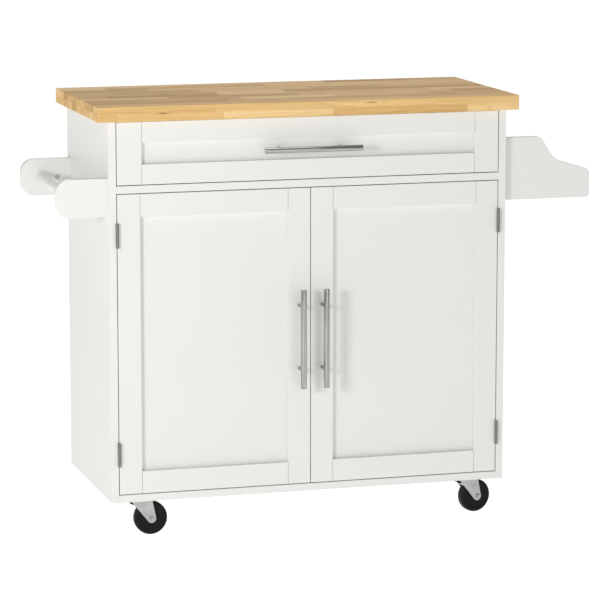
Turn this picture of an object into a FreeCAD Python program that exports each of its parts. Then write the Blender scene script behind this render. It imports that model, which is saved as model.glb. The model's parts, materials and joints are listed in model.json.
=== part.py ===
"""Kitchen island cart: a two-door, one-drawer cabinet on swivel casters, with a wooden worktop,
a towel rack on its left side and a spice rack on its right side.

Millimetres.  +X to the right seen from the front, -Y to the front, +Z up.  The origin is on the
floor, under the middle of the whole cart, racks and handles included.
"""
import FreeCAD, Part
import math
import os

from FreeCAD import Vector

# Cabinet and worktop
HEIGHT = 870.0              # floor to the top of the worktop
CABINET_WIDTH = 821.0       # over the two side panels
CABINET_DEPTH = 387.0
BOARD = 15.0                # side, bottom, divider, shelf and rail boards
WORKTOP_THICKNESS = 30.0
SIDE_OVERHANG = 23.0        # worktop past each side panel
FRONT_OVERHANG = 13.0
WORKTOP_EDGE = 1.5          # rounding of the worktop's edges
BOARD_EDGE = 0.6            # rounding of the painted boards' edges
BACK_THICKNESS = 4.0
BACK_INSET = 4.0            # back panel in front of the side panels' rear edges
BACK_GROOVE = 6.0           # depth of its grooves
GROOVE_GAP = 0.5            # between a panel's edge and the bottom of its groove
DRAWER_OPENING = 126.8      # height under the worktop
TOP_RAIL_WIDTH = 60.0
TOP_RAIL_SETBACK = 2.0      # behind the drawer front
FRONT_GAP = 1.6             # around each door and the drawer front

# Shelf
SHELF_HEIGHT = 395.0        # floor to the shelf's underside
SHELF_SETBACK = 45.0        # shelf's front edge behind the cabinet's front
SHELF_CLEARANCE = 1.0
PIN_RADIUS = 2.5
PIN_DEPTH = 9.0             # into the side panel
PIN_REACH = 10.0            # under the shelf
PIN_BLOCK = 8.0             # width and height of the pin's seat
PIN_PITCH = 32.0
PIN_ROWS_EACH_WAY = 3       # spare holes above and below the shelf
PIN_EDGE_DISTANCE = 40.0    # pin to the shelf's front or rear edge

# Framed fronts
FRAME_THICKNESS = 18.0
FRAME_EDGE = 0.8            # rounding of the frame members, which shows their joints
PANEL_RECESS = 8.5
FRONT_PANEL = 6.0
FRAME_GROOVE = 8.0
DOOR_STILE = 46.0
DOOR_RAIL = 45.0
DRAWER_STILE = 50.0
DRAWER_TOP_RAIL = 41.0
DRAWER_BOTTOM_RAIL = 40.0

# Handles
BAR_RADIUS = 6.0
BAR_LENGTH = 200.0
BAR_EDGE = 0.8
POST_RADIUS = 3.5
POST_SPACING = 128.0
HANDLE_STANDOFF = 33.0      # bar centre above its seat
HANDLE_SCREW_RADIUS = 2.0
HANDLE_SCREW_BITE = 12.0    # thread length in the post

# Drawer box and slides
DRAWER_BOARD = 12.0
DRAWER_BOX_HEIGHT = 90.0
DRAWER_BOX_LENGTH = 340.0
DRAWER_BOX_LIFT = 8.0       # box's lower edge above the divider
DRAWER_BOTTOM_THICKNESS = 4.0
DRAWER_BOTTOM_LIFT = 10.0   # above the box's lower edge
DRAWER_GROOVE = 5.0
SLIDE_WIDTH = 12.7          # side panel to drawer side
SLIDE_LENGTH = 338.0
SLIDE_SETBACK = 1.0         # behind the drawer front
SLIDE_SHEET = 1.2
SLIDE_OUTER_HALF = 22.5     # half heights of the three nested channels
SLIDE_MIDDLE_HALF = 18.5
SLIDE_INNER_HALF = 14.5
SLIDE_SIDE_GAP = 0.8        # between the channels, across the slide
DRAWER_TRAVEL = 300.0

# Hinges
HINGE_LENGTH = 46.0
HINGE_INSET = 58.0          # door's end to the hinge
KNUCKLE_RADIUS = 3.2
KNUCKLE_PROUD = 0.2         # between the knuckle and the cabinet's front
KNUCKLES = 5
KNUCKLE_GAP = 0.3
LEAF_THICKNESS = 0.65
LEAF_WIDTH = 20.0
HINGE_PIN_RADIUS = 1.5
HINGE_PIN_TIP = 2.2         # length of the pin's pointed ends
RUNNING_CLEARANCE = 0.05

# Magnetic catches
CATCH_OFFSET = 60.0         # from the cabinet's middle
CATCH_WIDTH = 44.0
CATCH_DEPTH = 14.0
CATCH_HEIGHT = 12.0
STRIKE_WIDTH = 26.0
STRIKE_HEIGHT = 10.0
STRIKE_THICKNESS = 1.2
CATCH_GAP = 0.4

# Racks
RACK_BOARD = 15.0
RACK_INSET = 12.0           # behind the cabinet's front and before its back
RACK_EDGE = 1.0
TOWEL_REACH = 103.0
TOWEL_ARM_HEIGHT = 76.5
TOWEL_ARM_TOP = 142.0       # below the top of the worktop
TOWEL_ARM_CORNER = 28.0
RAIL_RADIUS = 12.5
RAIL_DISTANCE = 60.0        # from the side panel
RAIL_SOCKET = 8.0
SPICE_REACH = 186.0
SPICE_HEIGHT = 127.5
SPICE_BOTTOM = 216.0        # below the top of the worktop
SPICE_CREST = 79.0          # where the level top and the slope would meet
SPICE_CREST_RADIUS = 18.0
SPICE_SLOPE = 58.0          # degrees below level
SPICE_SWEEP_RADIUS = 46.0
SPICE_LIP_HEIGHT = 57.5     # at the outer end, before it is rounded
SPICE_LIP_SLOPE = 17.0      # degrees below level
SPICE_CORNER_RADIUS = 15.5
SPICE_FOOT_RADIUS = 7.0
SPICE_BASE_THICKNESS = 12.0
SPICE_END_MARGIN = 8.0      # base and rail inside the outer end of the boards
SPICE_RAIL_THICKNESS = 12.0
SPICE_RAIL_HEIGHT = 34.0
SPICE_BOLT_HEIGHT = 75.0    # above the board's lower edge
SPICE_DOWEL_DROP = 47.0      # lower and upper dowel from the bolt
SPICE_DOWEL_RISE = 37.6
TOWEL_DOWEL_SPREAD = 25.0

# Fixings
WOOD_SCREW_RADIUS = 2.0
SMALL_SCREW_RADIUS = 1.4
HEAD_RADIUS = 4.0
HEAD_HEIGHT = 2.4
HEAD_ROUNDING = 0.4         # of a round head's height
FLUSH_HEAD_RADIUS = 2.8
HINGE_SCREW_LENGTH = 11.0
HINGE_SCREW_PLACES = (0.2, 0.8)         # along the leaf
HINGE_SCREW_SETBACK = 0.55              # across the leaf
SLIDE_SCREW_LENGTH = 10.0
SLIDE_SCREW_PLACES = (0.1, 0.5, 0.9)    # along the slide
WORKTOP_SCREW_BITE = 18.0
WORKTOP_SCREW_PLACES = (-0.38, 0.0, 0.38)   # of the cabinet's width, from its middle
CAM_BOLT_RADIUS = 3.0
CAM_BOLT_BITE = 10.0
CAM_DISTANCE = 34.0
CAM_RADIUS = 7.5
CAM_HEIGHT = 12.0
CAM_EDGE_DISTANCE = 110.0
CAM_RAIL_PLACE = 0.3        # across a top rail
RACK_BOLT_RADIUS = 3.0
RACK_BOLT_HEAD_RADIUS = 5.0
RACK_BOLT_HEAD = 4.0
BARREL_NUT_RADIUS = 5.0
BARREL_NUT_LENGTH = 12.5
BARREL_NUT_DISTANCE = 27.0
DOWEL_RADIUS = 4.0
DOWEL_IN_PANEL = 10.0
DOWEL_IN_RACK = 20.0

# Casters
CASTER_HEIGHT = 80.0
CASTER_SIDE_DISTANCE = 65.5     # swivel axis to the cabinet's side
CASTER_EDGE_DISTANCE = 55.0     # swivel axis to the cabinet's front or back
TRAIL = 25.0
WHEEL_RADIUS = 34.0
WHEEL_WIDTH = 20.0
WHEEL_EDGE = 5.0
HUB_RADIUS = 12.0
HUB_WIDTH = 23.0
AXLE_RADIUS = 4.0
AXLE_HEAD_RADIUS = 5.5
AXLE_HEAD = 2.2
AXLE_HEAD_ROUNDING = 0.6    # of the head's height
FORK_SHEET = 2.5
FORK_SIDE_GAP = 0.5             # hub to fork leg
FORK_EYE_RADIUS = 9.0
FORK_TOP_GAP = 3.2              # wheel to the fork's top
FORK_TOP_FRONT = 18.0           # leg's leading edge before the swivel axis
FORK_TOP_REAR = 1.0             # leg's trailing edge behind the axle
PLATE_LENGTH = 62.0
PLATE_WIDTH = 50.0
PLATE_THICKNESS = 2.5
PLATE_CORNER = 6.0
PLATE_SCREW_X = 48.0
PLATE_SCREW_Y = 36.0
PLATE_SCREW_LENGTH = 14.0
RACE_RADIUS = 21.0
RACE_GAP = 0.4
KINGPIN_RADIUS = 5.0
KINGPIN_HEAD_RADIUS = 7.0
KINGPIN_HEAD = 1.0
MOVING_GAP = 0.3
FORK_DISC_MARGIN = 1.0      # fork's top disc past the race
LEVER_WIDTH = 19.0
LEVER_PIN_RADIUS = 2.0
LEVER_PIN_PROUD = 0.5       # past the fork's legs
LEVER_PIVOT_X = 2.0
LEVER_PIVOT_DROP = 5.7          # below the fork's top sheet
LEVER_OUTLINE = ((2.5, 2.8), (-11.5, 3.2), (-13.0, 5.0), (-18.0, 4.2), (-20.8, 2.2),
                 (-19.5, 0.5), (-9.0, -4.0), (-6.0, -8.5), (-2.5, -5.5), (2.5, -2.0))

# Places worked out from the sizes above
AXIS_X = Vector(1, 0, 0)
AXIS_Y = Vector(0, 1, 0)
AXIS_Z = Vector(0, 0, 1)
HANDLE_REACH = HANDLE_STANDOFF + BAR_RADIUS
MIDDLE_X = (TOWEL_REACH - SPICE_REACH) / 2
FRONT = (HANDLE_REACH - CABINET_DEPTH) / 2
BACK = FRONT + CABINET_DEPTH
BOTTOM = CASTER_HEIGHT
TOP = HEIGHT - WORKTOP_THICKNESS
INNER_HALF = CABINET_WIDTH / 2 - BOARD
DIVIDER_TOP = TOP - DRAWER_OPENING
DIVIDER_BOTTOM = DIVIDER_TOP - BOARD
BACK_PANEL_FRONT = BACK - BACK_INSET - BACK_THICKNESS
DOOR_BOTTOM = BOTTOM + BOARD + FRONT_GAP
DOOR_TOP = DIVIDER_BOTTOM - FRONT_GAP
FRAME_BACK = FRONT + FRAME_THICKNESS
SHELF_FRONT = FRONT + SHELF_SETBACK
SHELF_BACK = BACK_PANEL_FRONT - SHELF_CLEARANCE
BOX_BOTTOM = DIVIDER_TOP + DRAWER_BOX_LIFT
BOX_BACK = FRAME_BACK + DRAWER_BOX_LENGTH
SLIDE_Z = BOX_BOTTOM + DRAWER_BOX_HEIGHT / 2
SLIDE_FRONT = FRAME_BACK + SLIDE_SETBACK
TOWEL_ARM_BOTTOM = HEIGHT - TOWEL_ARM_TOP - TOWEL_ARM_HEIGHT
TOWEL_Z = TOWEL_ARM_BOTTOM + TOWEL_ARM_HEIGHT / 2
SPICE_Z = HEIGHT - SPICE_BOTTOM
HINGE_Y = FRONT - KNUCKLE_RADIUS - KNUCKLE_PROUD
HINGE_STARTS = (DOOR_BOTTOM + HINGE_INSET, DOOR_TOP - HINGE_INSET - HINGE_LENGTH)
FORK_TOP = 2 * WHEEL_RADIUS + FORK_TOP_GAP + FORK_SHEET
FORK_INNER_HALF = HUB_WIDTH / 2 + FORK_SIDE_GAP
FORK_OUTER_HALF = FORK_INNER_HALF + FORK_SHEET
PLATE_BOTTOM = CASTER_HEIGHT - PLATE_THICKNESS
RACE_SPLIT = (FORK_TOP + PLATE_BOTTOM) / 2
LEFT, RIGHT = -1, 1

# name, side, front (-1) or back (1), swivel angle at rest in degrees, brake lever
CASTERS = (
    ("front_left", LEFT, -1, 0.0, True),
    ("front_right", RIGHT, -1, 12.0, True),
    ("rear_left", LEFT, 1, 6.0, False),
    ("rear_right", RIGHT, 1, 20.0, False),
)


# Shapes used by several pieces

def box(x0, x1, y0, y1, z0, z1):
    return Part.makeBox(x1 - x0, y1 - y0, z1 - z0, Vector(x0, y0, z0))


def rod(radius, start, end):
    return Part.makeCylinder(radius, end.sub(start).Length, start, end.sub(start))


def eased(solid, radius, direction=None):
    """Rounds the edges that run along a direction, or every edge."""
    edges = []
    for edge in solid.Edges:
        along = edge.tangentAt(edge.FirstParameter)
        if direction is None or abs(along.dot(direction)) > 0.99:
            edges.append(edge)
    return solid.makeFillet(radius, edges)


def joined(shapes):
    return shapes[0].fuse(shapes[1:]).removeSplitter()


def without(solid, tools):
    return solid.cut(tools) if tools else solid


def inward_x(side, depth):
    """X at a depth inwards from one side panel's inner face; negative depths lie outside it."""
    return MIDDLE_X + side * (INNER_HALF - depth)


def side_box(side, depth0, depth1, y0, y1, z0, z1):
    x0, x1 = sorted((inward_x(side, depth0), inward_x(side, depth1)))
    return box(x0, x1, y0, y1, z0, z1)


def side_rod(side, radius, depth0, depth1, y, z):
    return rod(radius, Vector(inward_x(side, depth0), y, z), Vector(inward_x(side, depth1), y, z))


def flush_screw(head, direction, length, radius, head_radius):
    """Countersunk screw whose flat head ends at the given point."""
    shank = Part.makeCylinder(radius, length, head, direction)
    cone = Part.makeCone(head_radius, radius, head_radius - radius, head, direction)
    return joined([shank, cone])


def pan_screw(seat, direction, length, radius):
    """Screw whose round head sits on the given point."""
    shank = Part.makeCylinder(radius, length, seat, direction)
    head = Part.makeCylinder(HEAD_RADIUS, HEAD_HEIGHT, seat - direction * HEAD_HEIGHT, direction)
    return joined([shank, eased_rim(head, HEAD_HEIGHT * HEAD_ROUNDING, seat - direction * HEAD_HEIGHT)])


def eased_rim(cylinder, radius, face_point):
    """Rounds the rim of the cylinder's end face at the given point."""
    rims = [edge for edge in cylinder.Edges
            if edge.Closed and edge.CenterOfMass.sub(face_point).Length < 1e-3]
    return cylinder.makeFillet(radius, rims)


def outline_solid(wire, y0, y1):
    """Extrudes a closed outline drawn in the XZ plane from y0 to y1."""
    face = Part.Face(wire)
    face.translate(Vector(0, y0, 0))
    return face.extrude(Vector(0, y1 - y0, 0))


def line(a, b):
    return Part.LineSegment(a, b).toShape()


def arc(centre, radius, degrees0, degrees1):
    """Arc in the XZ plane; angles run from +X towards +Z."""
    points = []
    for degrees in (degrees0, (degrees0 + degrees1) / 2, degrees1):
        angle = math.radians(degrees)
        points.append(centre + Vector(radius * math.cos(angle), 0, radius * math.sin(angle)))
    return Part.Arc(*points).toShape()


def chained(edges):
    """Closes a run of edges, given in order, into a wire, with straight lines across the gaps."""
    run = []
    for index, edge in enumerate(edges):
        run.append(edge)
        end = edge.lastVertex(True).Point
        start = edges[(index + 1) % len(edges)].firstVertex(True).Point
        if end.sub(start).Length > 1e-6:
            run.append(line(end, start))
    return Part.Wire(run)


# Fixings, each made once and used to drill the boards it passes through

def worktop_screws():
    screws = []
    for y0 in top_rail_fronts():
        for place in WORKTOP_SCREW_PLACES:
            seat = Vector(MIDDLE_X + place * CABINET_WIDTH, y0 + TOP_RAIL_WIDTH / 2, TOP - BOARD)
            screws.append(pan_screw(seat, AXIS_Z, BOARD + WORKTOP_SCREW_BITE, WOOD_SCREW_RADIUS))
    return screws


def cam_places():
    """Y and mid-thickness Z of each cam lock that ties a level board to a side panel."""
    places = []
    for z in (BOTTOM + BOARD / 2, DIVIDER_BOTTOM + BOARD / 2):
        places.append((FRONT + CAM_EDGE_DISTANCE, z))
        places.append((BACK - CAM_EDGE_DISTANCE, z))
    for y0 in top_rail_fronts():
        places.append((y0 + TOP_RAIL_WIDTH * CAM_RAIL_PLACE, TOP - BOARD / 2))
    return places


def cam_locks():
    locks = []
    for side in (LEFT, RIGHT):
        for y, z in cam_places():
            bolt = side_rod(side, CAM_BOLT_RADIUS, -CAM_BOLT_BITE, CAM_DISTANCE, y, z)
            low = Vector(inward_x(side, CAM_DISTANCE), y, z - BOARD / 2)
            nut = Part.makeCylinder(CAM_RADIUS, CAM_HEIGHT, low, AXIS_Z)
            locks.extend((bolt, nut.cut(bolt)))
    return locks


def hinge_screws(side, door_leaf):
    """Screws through a hinge's fixed leaves, or through the leaves on the door."""
    screws = []
    for z0 in HINGE_STARTS:
        for place in HINGE_SCREW_PLACES:
            z = z0 + place * HINGE_LENGTH
            y = FRONT + LEAF_WIDTH * HINGE_SCREW_SETBACK
            depth = FRONT_GAP - LEAF_THICKNESS if door_leaf else LEAF_THICKNESS
            direction = AXIS_X * (-side if door_leaf else side)
            head = Vector(inward_x(side, depth), y, z)
            screws.append(flush_screw(head, direction, HINGE_SCREW_LENGTH,
                                      SMALL_SCREW_RADIUS, FLUSH_HEAD_RADIUS))
    return screws


def slide_screws(side, on_drawer):
    """Screws that hold a slide's outer channel to the cabinet, or its inner one to the drawer."""
    screws = []
    for place in SLIDE_SCREW_PLACES:
        y = SLIDE_FRONT + place * SLIDE_LENGTH
        depth = SLIDE_WIDTH - SLIDE_SHEET if on_drawer else SLIDE_SHEET
        direction = AXIS_X * (-side if on_drawer else side)
        head = Vector(inward_x(side, depth), y, SLIDE_Z)
        screws.append(flush_screw(head, direction, SLIDE_SCREW_LENGTH,
                                  SMALL_SCREW_RADIUS, FLUSH_HEAD_RADIUS))
    return screws


def rack_board_fronts():
    """Y of the front face of a rack's front and rear boards."""
    return (FRONT + RACK_INSET, BACK - RACK_INSET - RACK_BOARD)


def rack_joint_heights(side):
    """Heights of a rack board's bolt and its dowels."""
    if side == LEFT:
        return TOWEL_Z, (TOWEL_Z - TOWEL_DOWEL_SPREAD, TOWEL_Z + TOWEL_DOWEL_SPREAD)
    bolt = SPICE_Z + SPICE_BOLT_HEIGHT
    return bolt, (bolt - SPICE_DOWEL_DROP, bolt + SPICE_DOWEL_RISE)


def rack_fixings(side):
    """Bolts from inside the cabinet into barrel nuts in the rack boards."""
    fixings = []
    height = rack_joint_heights(side)[0]
    fronts = rack_board_fronts()
    for y0 in fronts:
        y = y0 + RACK_BOARD / 2
        shank = side_rod(side, RACK_BOLT_RADIUS, 0, -BOARD - BARREL_NUT_DISTANCE, y, height)
        head = side_rod(side, RACK_BOLT_HEAD_RADIUS, 0, -RACK_BOLT_HEAD, y, height)
        bolt = joined([shank, head])
        x = inward_x(side, -BOARD - BARREL_NUT_DISTANCE)
        inner_face = y0 + RACK_BOARD if y0 == fronts[0] else y0
        towards = -1 if y0 == fronts[0] else 1
        start = Vector(x, inner_face, height)
        nut = rod(BARREL_NUT_RADIUS, start, start + AXIS_Y * (towards * BARREL_NUT_LENGTH))
        fixings.extend((bolt, nut.cut(bolt)))
    return fixings


def rack_dowels(side):
    dowels = []
    for y0 in rack_board_fronts():
        for z in rack_joint_heights(side)[1]:
            dowels.append(side_rod(side, DOWEL_RADIUS, DOWEL_IN_PANEL - BOARD,
                                   -BOARD - DOWEL_IN_RACK, y0 + RACK_BOARD / 2, z))
    return dowels


def caster_axis(side, end):
    """Swivel axis of one caster, on the floor."""
    x = MIDDLE_X + side * (CABINET_WIDTH / 2 - CASTER_SIDE_DISTANCE)
    y = FRONT + CASTER_EDGE_DISTANCE if end < 0 else BACK - CASTER_EDGE_DISTANCE
    return Vector(x, y, 0)


def caster_screws():
    screws = []
    for _, side, end, _, _ in CASTERS:
        for dx in (-PLATE_SCREW_X / 2, PLATE_SCREW_X / 2):
            for dy in (-PLATE_SCREW_Y / 2, PLATE_SCREW_Y / 2):
                seat = caster_axis(side, end) + Vector(dx, dy, PLATE_BOTTOM)
                screws.append(pan_screw(seat, AXIS_Z, PLATE_SCREW_LENGTH, WOOD_SCREW_RADIUS))
    return screws


# Cabinet

def worktop():
    half = CABINET_WIDTH / 2 + SIDE_OVERHANG
    slab = box(MIDDLE_X - half, MIDDLE_X + half, FRONT - FRONT_OVERHANG, BACK, TOP, HEIGHT)
    return without(eased(slab, WORKTOP_EDGE), worktop_screws())


def back_panel_box(side_growth):
    half = INNER_HALF + side_growth
    return box(MIDDLE_X - half, MIDDLE_X + half, BACK_PANEL_FRONT, BACK_PANEL_FRONT + BACK_THICKNESS,
               BOTTOM + BOARD - side_growth, TOP)


def back_panel():
    return back_panel_box(BACK_GROOVE - GROOVE_GAP)


def shelf_pin_places():
    return SHELF_FRONT + PIN_EDGE_DISTANCE, SHELF_BACK - PIN_EDGE_DISTANCE


def side_panel(side):
    panel = eased(side_box(side, -BOARD, 0, FRONT, BACK, BOTTOM, TOP), BOARD_EDGE, AXIS_Z)
    cuts = [back_panel_box(BACK_GROOVE)]
    for y in shelf_pin_places():
        for row in range(-PIN_ROWS_EACH_WAY, PIN_ROWS_EACH_WAY + 1):
            z = SHELF_HEIGHT - PIN_RADIUS + row * PIN_PITCH
            cuts.append(side_rod(side, PIN_RADIUS, 0, -PIN_DEPTH, y, z))
    cuts += cam_locks() + hinge_screws(side, False) + slide_screws(side, False)
    cuts += rack_fixings(side) + rack_dowels(side)
    return without(panel, cuts)


def bottom_panel():
    half = INNER_HALF
    panel = eased(box(MIDDLE_X - half, MIDDLE_X + half, FRONT, BACK, BOTTOM, BOTTOM + BOARD),
                  BOARD_EDGE, AXIS_X)
    return without(panel, [back_panel_box(BACK_GROOVE)] + cam_locks() + caster_screws())


def divider_panel():
    panel = box(MIDDLE_X - INNER_HALF, MIDDLE_X + INNER_HALF, FRONT, BACK_PANEL_FRONT,
                DIVIDER_BOTTOM, DIVIDER_TOP)
    return without(eased(panel, BOARD_EDGE, AXIS_X), cam_locks())


def top_rail_fronts():
    return (FRAME_BACK + TOP_RAIL_SETBACK, BACK_PANEL_FRONT - TOP_RAIL_WIDTH)


def top_rails():
    rails = []
    for y0 in top_rail_fronts():
        rail = box(MIDDLE_X - INNER_HALF, MIDDLE_X + INNER_HALF, y0, y0 + TOP_RAIL_WIDTH,
                   TOP - BOARD, TOP)
        rails.append(without(rail, cam_locks() + worktop_screws()))
    return rails


def shelf():
    half = INNER_HALF - SHELF_CLEARANCE
    board = box(MIDDLE_X - half, MIDDLE_X + half, SHELF_FRONT, SHELF_BACK,
                SHELF_HEIGHT, SHELF_HEIGHT + BOARD)
    return eased(board, BOARD_EDGE, AXIS_X)


def shelf_pins():
    pins = []
    for side in (LEFT, RIGHT):
        for y in shelf_pin_places():
            z = SHELF_HEIGHT - PIN_RADIUS
            stem = side_rod(side, PIN_RADIUS, -PIN_DEPTH, PIN_REACH, y, z)
            seat = side_box(side, 0, PIN_REACH, y - PIN_BLOCK / 2, y + PIN_BLOCK / 2,
                            SHELF_HEIGHT - PIN_BLOCK, SHELF_HEIGHT)
            pins.append(joined([stem, seat]))
    return pins


def magnetic_catches():
    catches = []
    y0 = FRAME_BACK + STRIKE_THICKNESS + CATCH_GAP
    for side in (LEFT, RIGHT):
        x = MIDDLE_X + side * CATCH_OFFSET
        body = box(x - CATCH_WIDTH / 2, x + CATCH_WIDTH / 2, y0, y0 + CATCH_DEPTH,
                   DIVIDER_BOTTOM - CATCH_HEIGHT, DIVIDER_BOTTOM)
        catches.append(eased(body, BOARD_EDGE, AXIS_Z))
    return catches


# Framed fronts and their handles

def framed_front(x0, x1, z0, z1, stile, top_rail, bottom_rail):
    """The four frame members and the recessed panel of a door or drawer front."""
    members = []
    for a, b in ((x0, x0 + stile), (x1 - stile, x1)):
        members.append(eased(box(a, b, FRONT, FRAME_BACK, z0, z1), FRAME_EDGE))
    for a, b in ((z0, z0 + bottom_rail), (z1 - top_rail, z1)):
        rail = box(x0 + stile, x1 - stile, FRONT, FRAME_BACK, a, b)
        members.append(eased(rail, FRAME_EDGE))

    def panel_box(depth):
        return box(x0 + stile - depth, x1 - stile + depth,
                   FRONT + PANEL_RECESS, FRONT + PANEL_RECESS + FRONT_PANEL,
                   z0 + bottom_rail - depth, z1 - top_rail + depth)

    groove = panel_box(FRAME_GROOVE)
    return [member.cut(groove) for member in members], panel_box(FRAME_GROOVE - GROOVE_GAP)


def handle(centre, along, seat_y):
    """Bar handle on two posts; the centre is the bar's, the posts end on the plane seat_y."""
    start = centre - along * (BAR_LENGTH / 2)
    bar = rod(BAR_RADIUS, start, centre + along * (BAR_LENGTH / 2))
    bar = bar.makeFillet(BAR_EDGE, [edge for edge in bar.Edges if edge.Closed])
    posts = []
    for way in (-0.5, 0.5):
        foot = centre + along * (way * POST_SPACING)
        foot.y = seat_y
        posts.append(rod(POST_RADIUS, foot, Vector(foot.x, centre.y, foot.z)))
    return without(joined([bar] + posts), handle_screws(centre, along, seat_y, 0))


def handle_screws(centre, along, seat_y, board):
    """Screws from behind the board into the handle's posts."""
    screws = []
    for way in (-0.5, 0.5):
        seat = centre + along * (way * POST_SPACING)
        seat.y = seat_y + board
        screws.append(pan_screw(seat, AXIS_Y * -1, board + HANDLE_SCREW_BITE, HANDLE_SCREW_RADIUS))
    return screws


def drawer_handle_centre():
    z0 = DIVIDER_TOP + FRONT_GAP + DRAWER_BOTTOM_RAIL
    z1 = TOP - FRONT_GAP - DRAWER_TOP_RAIL
    return Vector(MIDDLE_X, FRONT + PANEL_RECESS - HANDLE_STANDOFF, (z0 + z1) / 2)


def door_handle_centre(side):
    return Vector(MIDDLE_X + side * (FRONT_GAP + DOOR_STILE) / 2, FRONT - HANDLE_STANDOFF,
                  (DOOR_BOTTOM + DOOR_TOP) / 2)


# Drawer

def drawer_front():
    half = INNER_HALF - FRONT_GAP
    members, panel = framed_front(MIDDLE_X - half, MIDDLE_X + half, DIVIDER_TOP + FRONT_GAP,
                                  TOP - FRONT_GAP, DRAWER_STILE, DRAWER_TOP_RAIL,
                                  DRAWER_BOTTOM_RAIL)
    members = [member.cut(drawer_bottom_box(DRAWER_GROOVE)) for member in members]
    seat_y = FRONT + PANEL_RECESS
    return members, without(panel, handle_screws(drawer_handle_centre(), AXIS_X, seat_y,
                                                 FRONT_PANEL))


def drawer_bottom_box(growth):
    """Space of the drawer's bottom board, grown into the boards round it."""
    half = INNER_HALF - SLIDE_WIDTH - DRAWER_BOARD + growth
    z0 = BOX_BOTTOM + DRAWER_BOTTOM_LIFT
    return box(MIDDLE_X - half, MIDDLE_X + half, FRAME_BACK - growth,
               BOX_BACK - DRAWER_BOARD + growth, z0, z0 + DRAWER_BOTTOM_THICKNESS)


def drawer_sides():
    sides = []
    for side in (LEFT, RIGHT):
        board = side_box(side, SLIDE_WIDTH, SLIDE_WIDTH + DRAWER_BOARD, FRAME_BACK, BOX_BACK,
                         BOX_BOTTOM, BOX_BOTTOM + DRAWER_BOX_HEIGHT)
        board = eased(board, BOARD_EDGE, AXIS_Y)
        sides.append(without(board, [drawer_bottom_box(DRAWER_GROOVE)] + slide_screws(side, True)))
    return sides


def drawer_back():
    half = INNER_HALF - SLIDE_WIDTH - DRAWER_BOARD
    board = box(MIDDLE_X - half, MIDDLE_X + half, BOX_BACK - DRAWER_BOARD, BOX_BACK,
                BOX_BOTTOM, BOX_BOTTOM + DRAWER_BOX_HEIGHT)
    return eased(board, BOARD_EDGE, AXIS_X).cut(drawer_bottom_box(DRAWER_GROOVE))


def slide_channel(side, web, mouth, half_height):
    """One rolled channel of a slide, from its web's outer face to its mouth."""
    way = 1 if mouth > web else -1
    y1 = SLIDE_FRONT + SLIDE_LENGTH
    outer = side_box(side, web, mouth, SLIDE_FRONT, y1, SLIDE_Z - half_height,
                     SLIDE_Z + half_height)
    inner_half = half_height - SLIDE_SHEET
    hollow = side_box(side, web + way * SLIDE_SHEET, mouth + way * SLIDE_SHEET, SLIDE_FRONT, y1,
                      SLIDE_Z - inner_half, SLIDE_Z + inner_half)
    return outer.cut(hollow)


def slides():
    """Outer, middle and inner channels of the two drawer slides."""
    outer, middle, inner = [], [], []
    middle_web = SLIDE_SHEET + SLIDE_SIDE_GAP
    inner_mouth = middle_web + SLIDE_SHEET + SLIDE_SIDE_GAP
    middle_mouth = SLIDE_WIDTH - SLIDE_SHEET - SLIDE_SIDE_GAP
    for side in (LEFT, RIGHT):
        channel = slide_channel(side, 0, middle_mouth - SLIDE_SIDE_GAP, SLIDE_OUTER_HALF)
        outer.append(without(channel, slide_screws(side, False)))
        middle.append(slide_channel(side, middle_web, middle_mouth, SLIDE_MIDDLE_HALF))
        channel = slide_channel(side, SLIDE_WIDTH, inner_mouth, SLIDE_INNER_HALF)
        inner.append(without(channel, slide_screws(side, True)))
    return outer, middle, inner


# Doors and hinges

def door_front(side):
    """Frame members and panel of one door, drilled for its screws."""
    x0, x1 = sorted((inward_x(side, FRONT_GAP), MIDDLE_X + side * FRONT_GAP / 2))
    members, panel = framed_front(x0, x1, DOOR_BOTTOM, DOOR_TOP, DOOR_STILE, DOOR_RAIL, DOOR_RAIL)
    return [without(member, door_screws(side)) for member in members], panel


def door_screws(side):
    return hinge_screws(side, True) + handle_screws(door_handle_centre(side), AXIS_Z, FRONT,
                                                    FRAME_THICKNESS)


def hinge_leaf(side, z0, door_leaf):
    """One leaf of a butt hinge with its share of the knuckles, bored for the pin."""
    depth0 = FRONT_GAP - LEAF_THICKNESS if door_leaf else 0
    depth1 = depth0 + LEAF_THICKNESS
    pieces = [side_box(side, depth0, depth1, FRONT + MOVING_GAP, FRONT + LEAF_WIDTH,
                       z0, z0 + HINGE_LENGTH)]
    pitch = (HINGE_LENGTH + KNUCKLE_GAP) / KNUCKLES
    axis_x = inward_x(side, FRONT_GAP / 2)
    for index in range(1 if door_leaf else 0, KNUCKLES, 2):
        low = z0 + index * pitch
        high = low + pitch - KNUCKLE_GAP
        pieces.append(rod(KNUCKLE_RADIUS, Vector(axis_x, HINGE_Y, low), Vector(axis_x, HINGE_Y, high)))
        pieces.append(side_box(side, depth0, depth1, HINGE_Y, FRONT + MOVING_GAP, low, high))
    clearance = RUNNING_CLEARANCE if door_leaf else 0
    bore = rod(HINGE_PIN_RADIUS + clearance, Vector(axis_x, HINGE_Y, z0),
               Vector(axis_x, HINGE_Y, z0 + HINGE_LENGTH))
    return joined(pieces).cut(bore)


def hinge_leaves(side, door_leaf):
    screws = hinge_screws(side, door_leaf)
    return [without(hinge_leaf(side, z0, door_leaf), screws) for z0 in HINGE_STARTS]


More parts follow.
